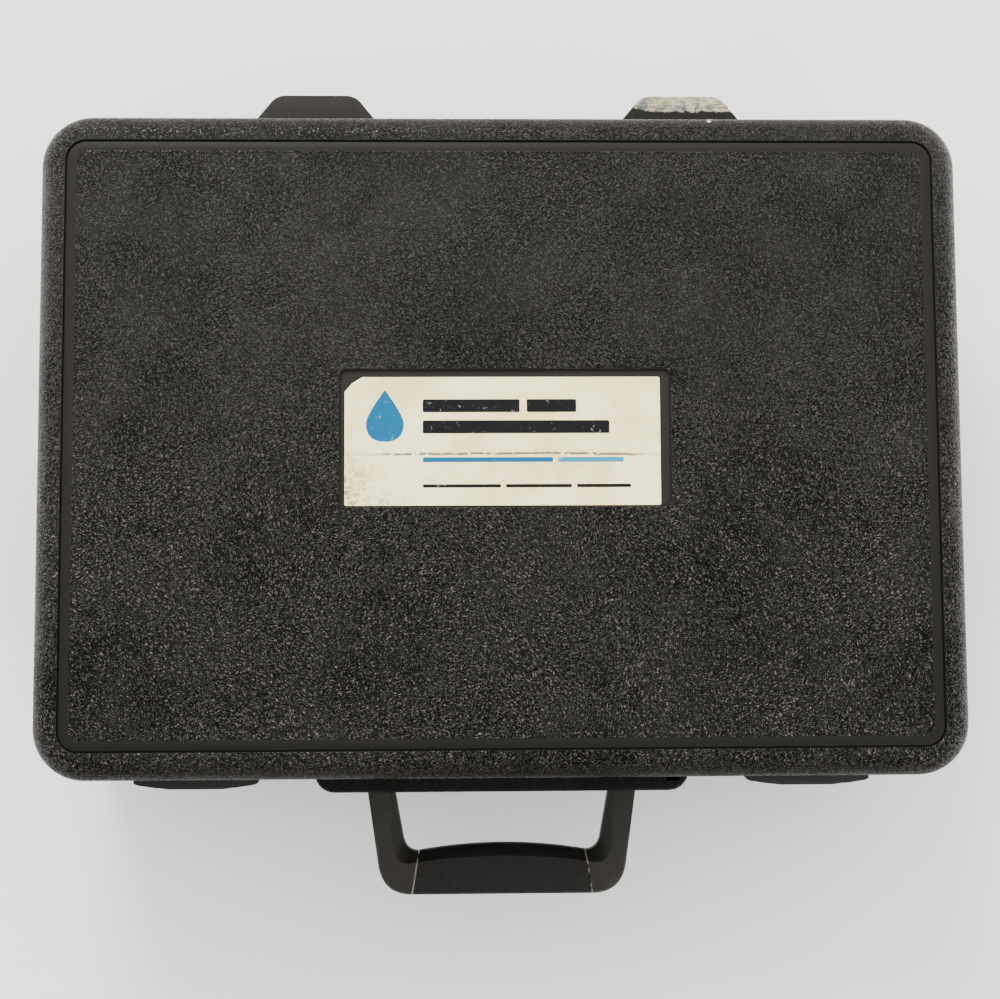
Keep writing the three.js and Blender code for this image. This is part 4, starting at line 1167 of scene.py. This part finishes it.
def make_sky():
    """A soft white surround, brighter behind the case and dimmer in front of it."""
    world = bpy.data.worlds.new("studio")
    world.use_nodes = True
    tree = world.node_tree
    direction = tree.nodes.new("ShaderNodeSeparateXYZ")
    tree.links.new(tree.nodes.new("ShaderNodeTexCoord").outputs["Generated"], direction.inputs[0])
    level = tree.nodes.new("ShaderNodeMapRange")
    tree.links.new(direction.outputs["Y"], level.inputs["Value"])
    for key, value in (("From Min", -0.75), ("From Max", 0.75), ("To Min", 0.8), ("To Max", 2.7)):
        level.inputs[key].default_value = value
    back = tree.nodes["Background"]
    back.inputs["Color"].default_value = (1.0, 0.995, 0.985, 1.0)
    tree.links.new(level.outputs["Result"], back.inputs["Strength"])
    bpy.context.scene.world = world


# ---------- assembly
make_camera()
make_stage()

place(make_lid(), "lid", ["lid_shell"], "case_shell")
place(make_base(), "base", ["base_shell"], "case_shell")
place(make_foot("left", -1, FOOT_PLASTIC), "base", ["rear_foot_left"], "smooth_plastic")
place(make_foot("right", 1, SCUFFED), "base", ["rear_foot_right"], "smooth_plastic")
for side, sign in (("left", -1), ("right", 1)):
    place(make_latch(side, sign), f"latch_{side}", [f"latch_{side}"], "smooth_plastic")
    for pin in ("hinge_pin", "latch_pin", "handle_pin"):
        keep(f"{pin}_{side}", STEEL)
legs, grip = make_handle_pieces()
place(legs, "handle", ["handle_frame"], "smooth_plastic")
place(grip, "handle", ["handle_grip"], "smooth_plastic")
place(make_label(), "lid", ["label_plate"], "printed_label")
for mark in make_print():
    place(mark, "lid")

lid_foam = place(make_egg_foam(), "lid", ["lid_foam"], "foam")
for node in ("bottom_pad", "foam_rear", "foam_tubes", "foam_tablets", "foam_right"):
    foam = place(softened(node, f"{node}_block", FOAM_LOOK, 0.9), "base", [node], "foam")

for i in range(1, 9):
    make_bottle(f"reagent_bottle_{i}", f"bottle_{i}", BANDS[i - 1], 0.545)
    make_cap(f"bottle_cap_{i}", f"cap_{i}", f"bottle_cap_{i}", CAP_WHITE, "white_cap")
make_bottle("sample_bottle", "sampler", BANDS[1], 0.56)
make_cap("sample_cap", "sampler_cap", "sample_cap", CAP_BLUE, "blue_cap")
for i in range(1, 5):
    make_tube(i)
    make_cap(f"tube_cap_{i}", f"stopper_{i}", f"tube_cap_{i}", CAP_BLUE, "blue_cap")
for i in (1, 2):
    make_titrator(i)
make_comparator()
make_slide()
make_tablet_box()
make_booklet()
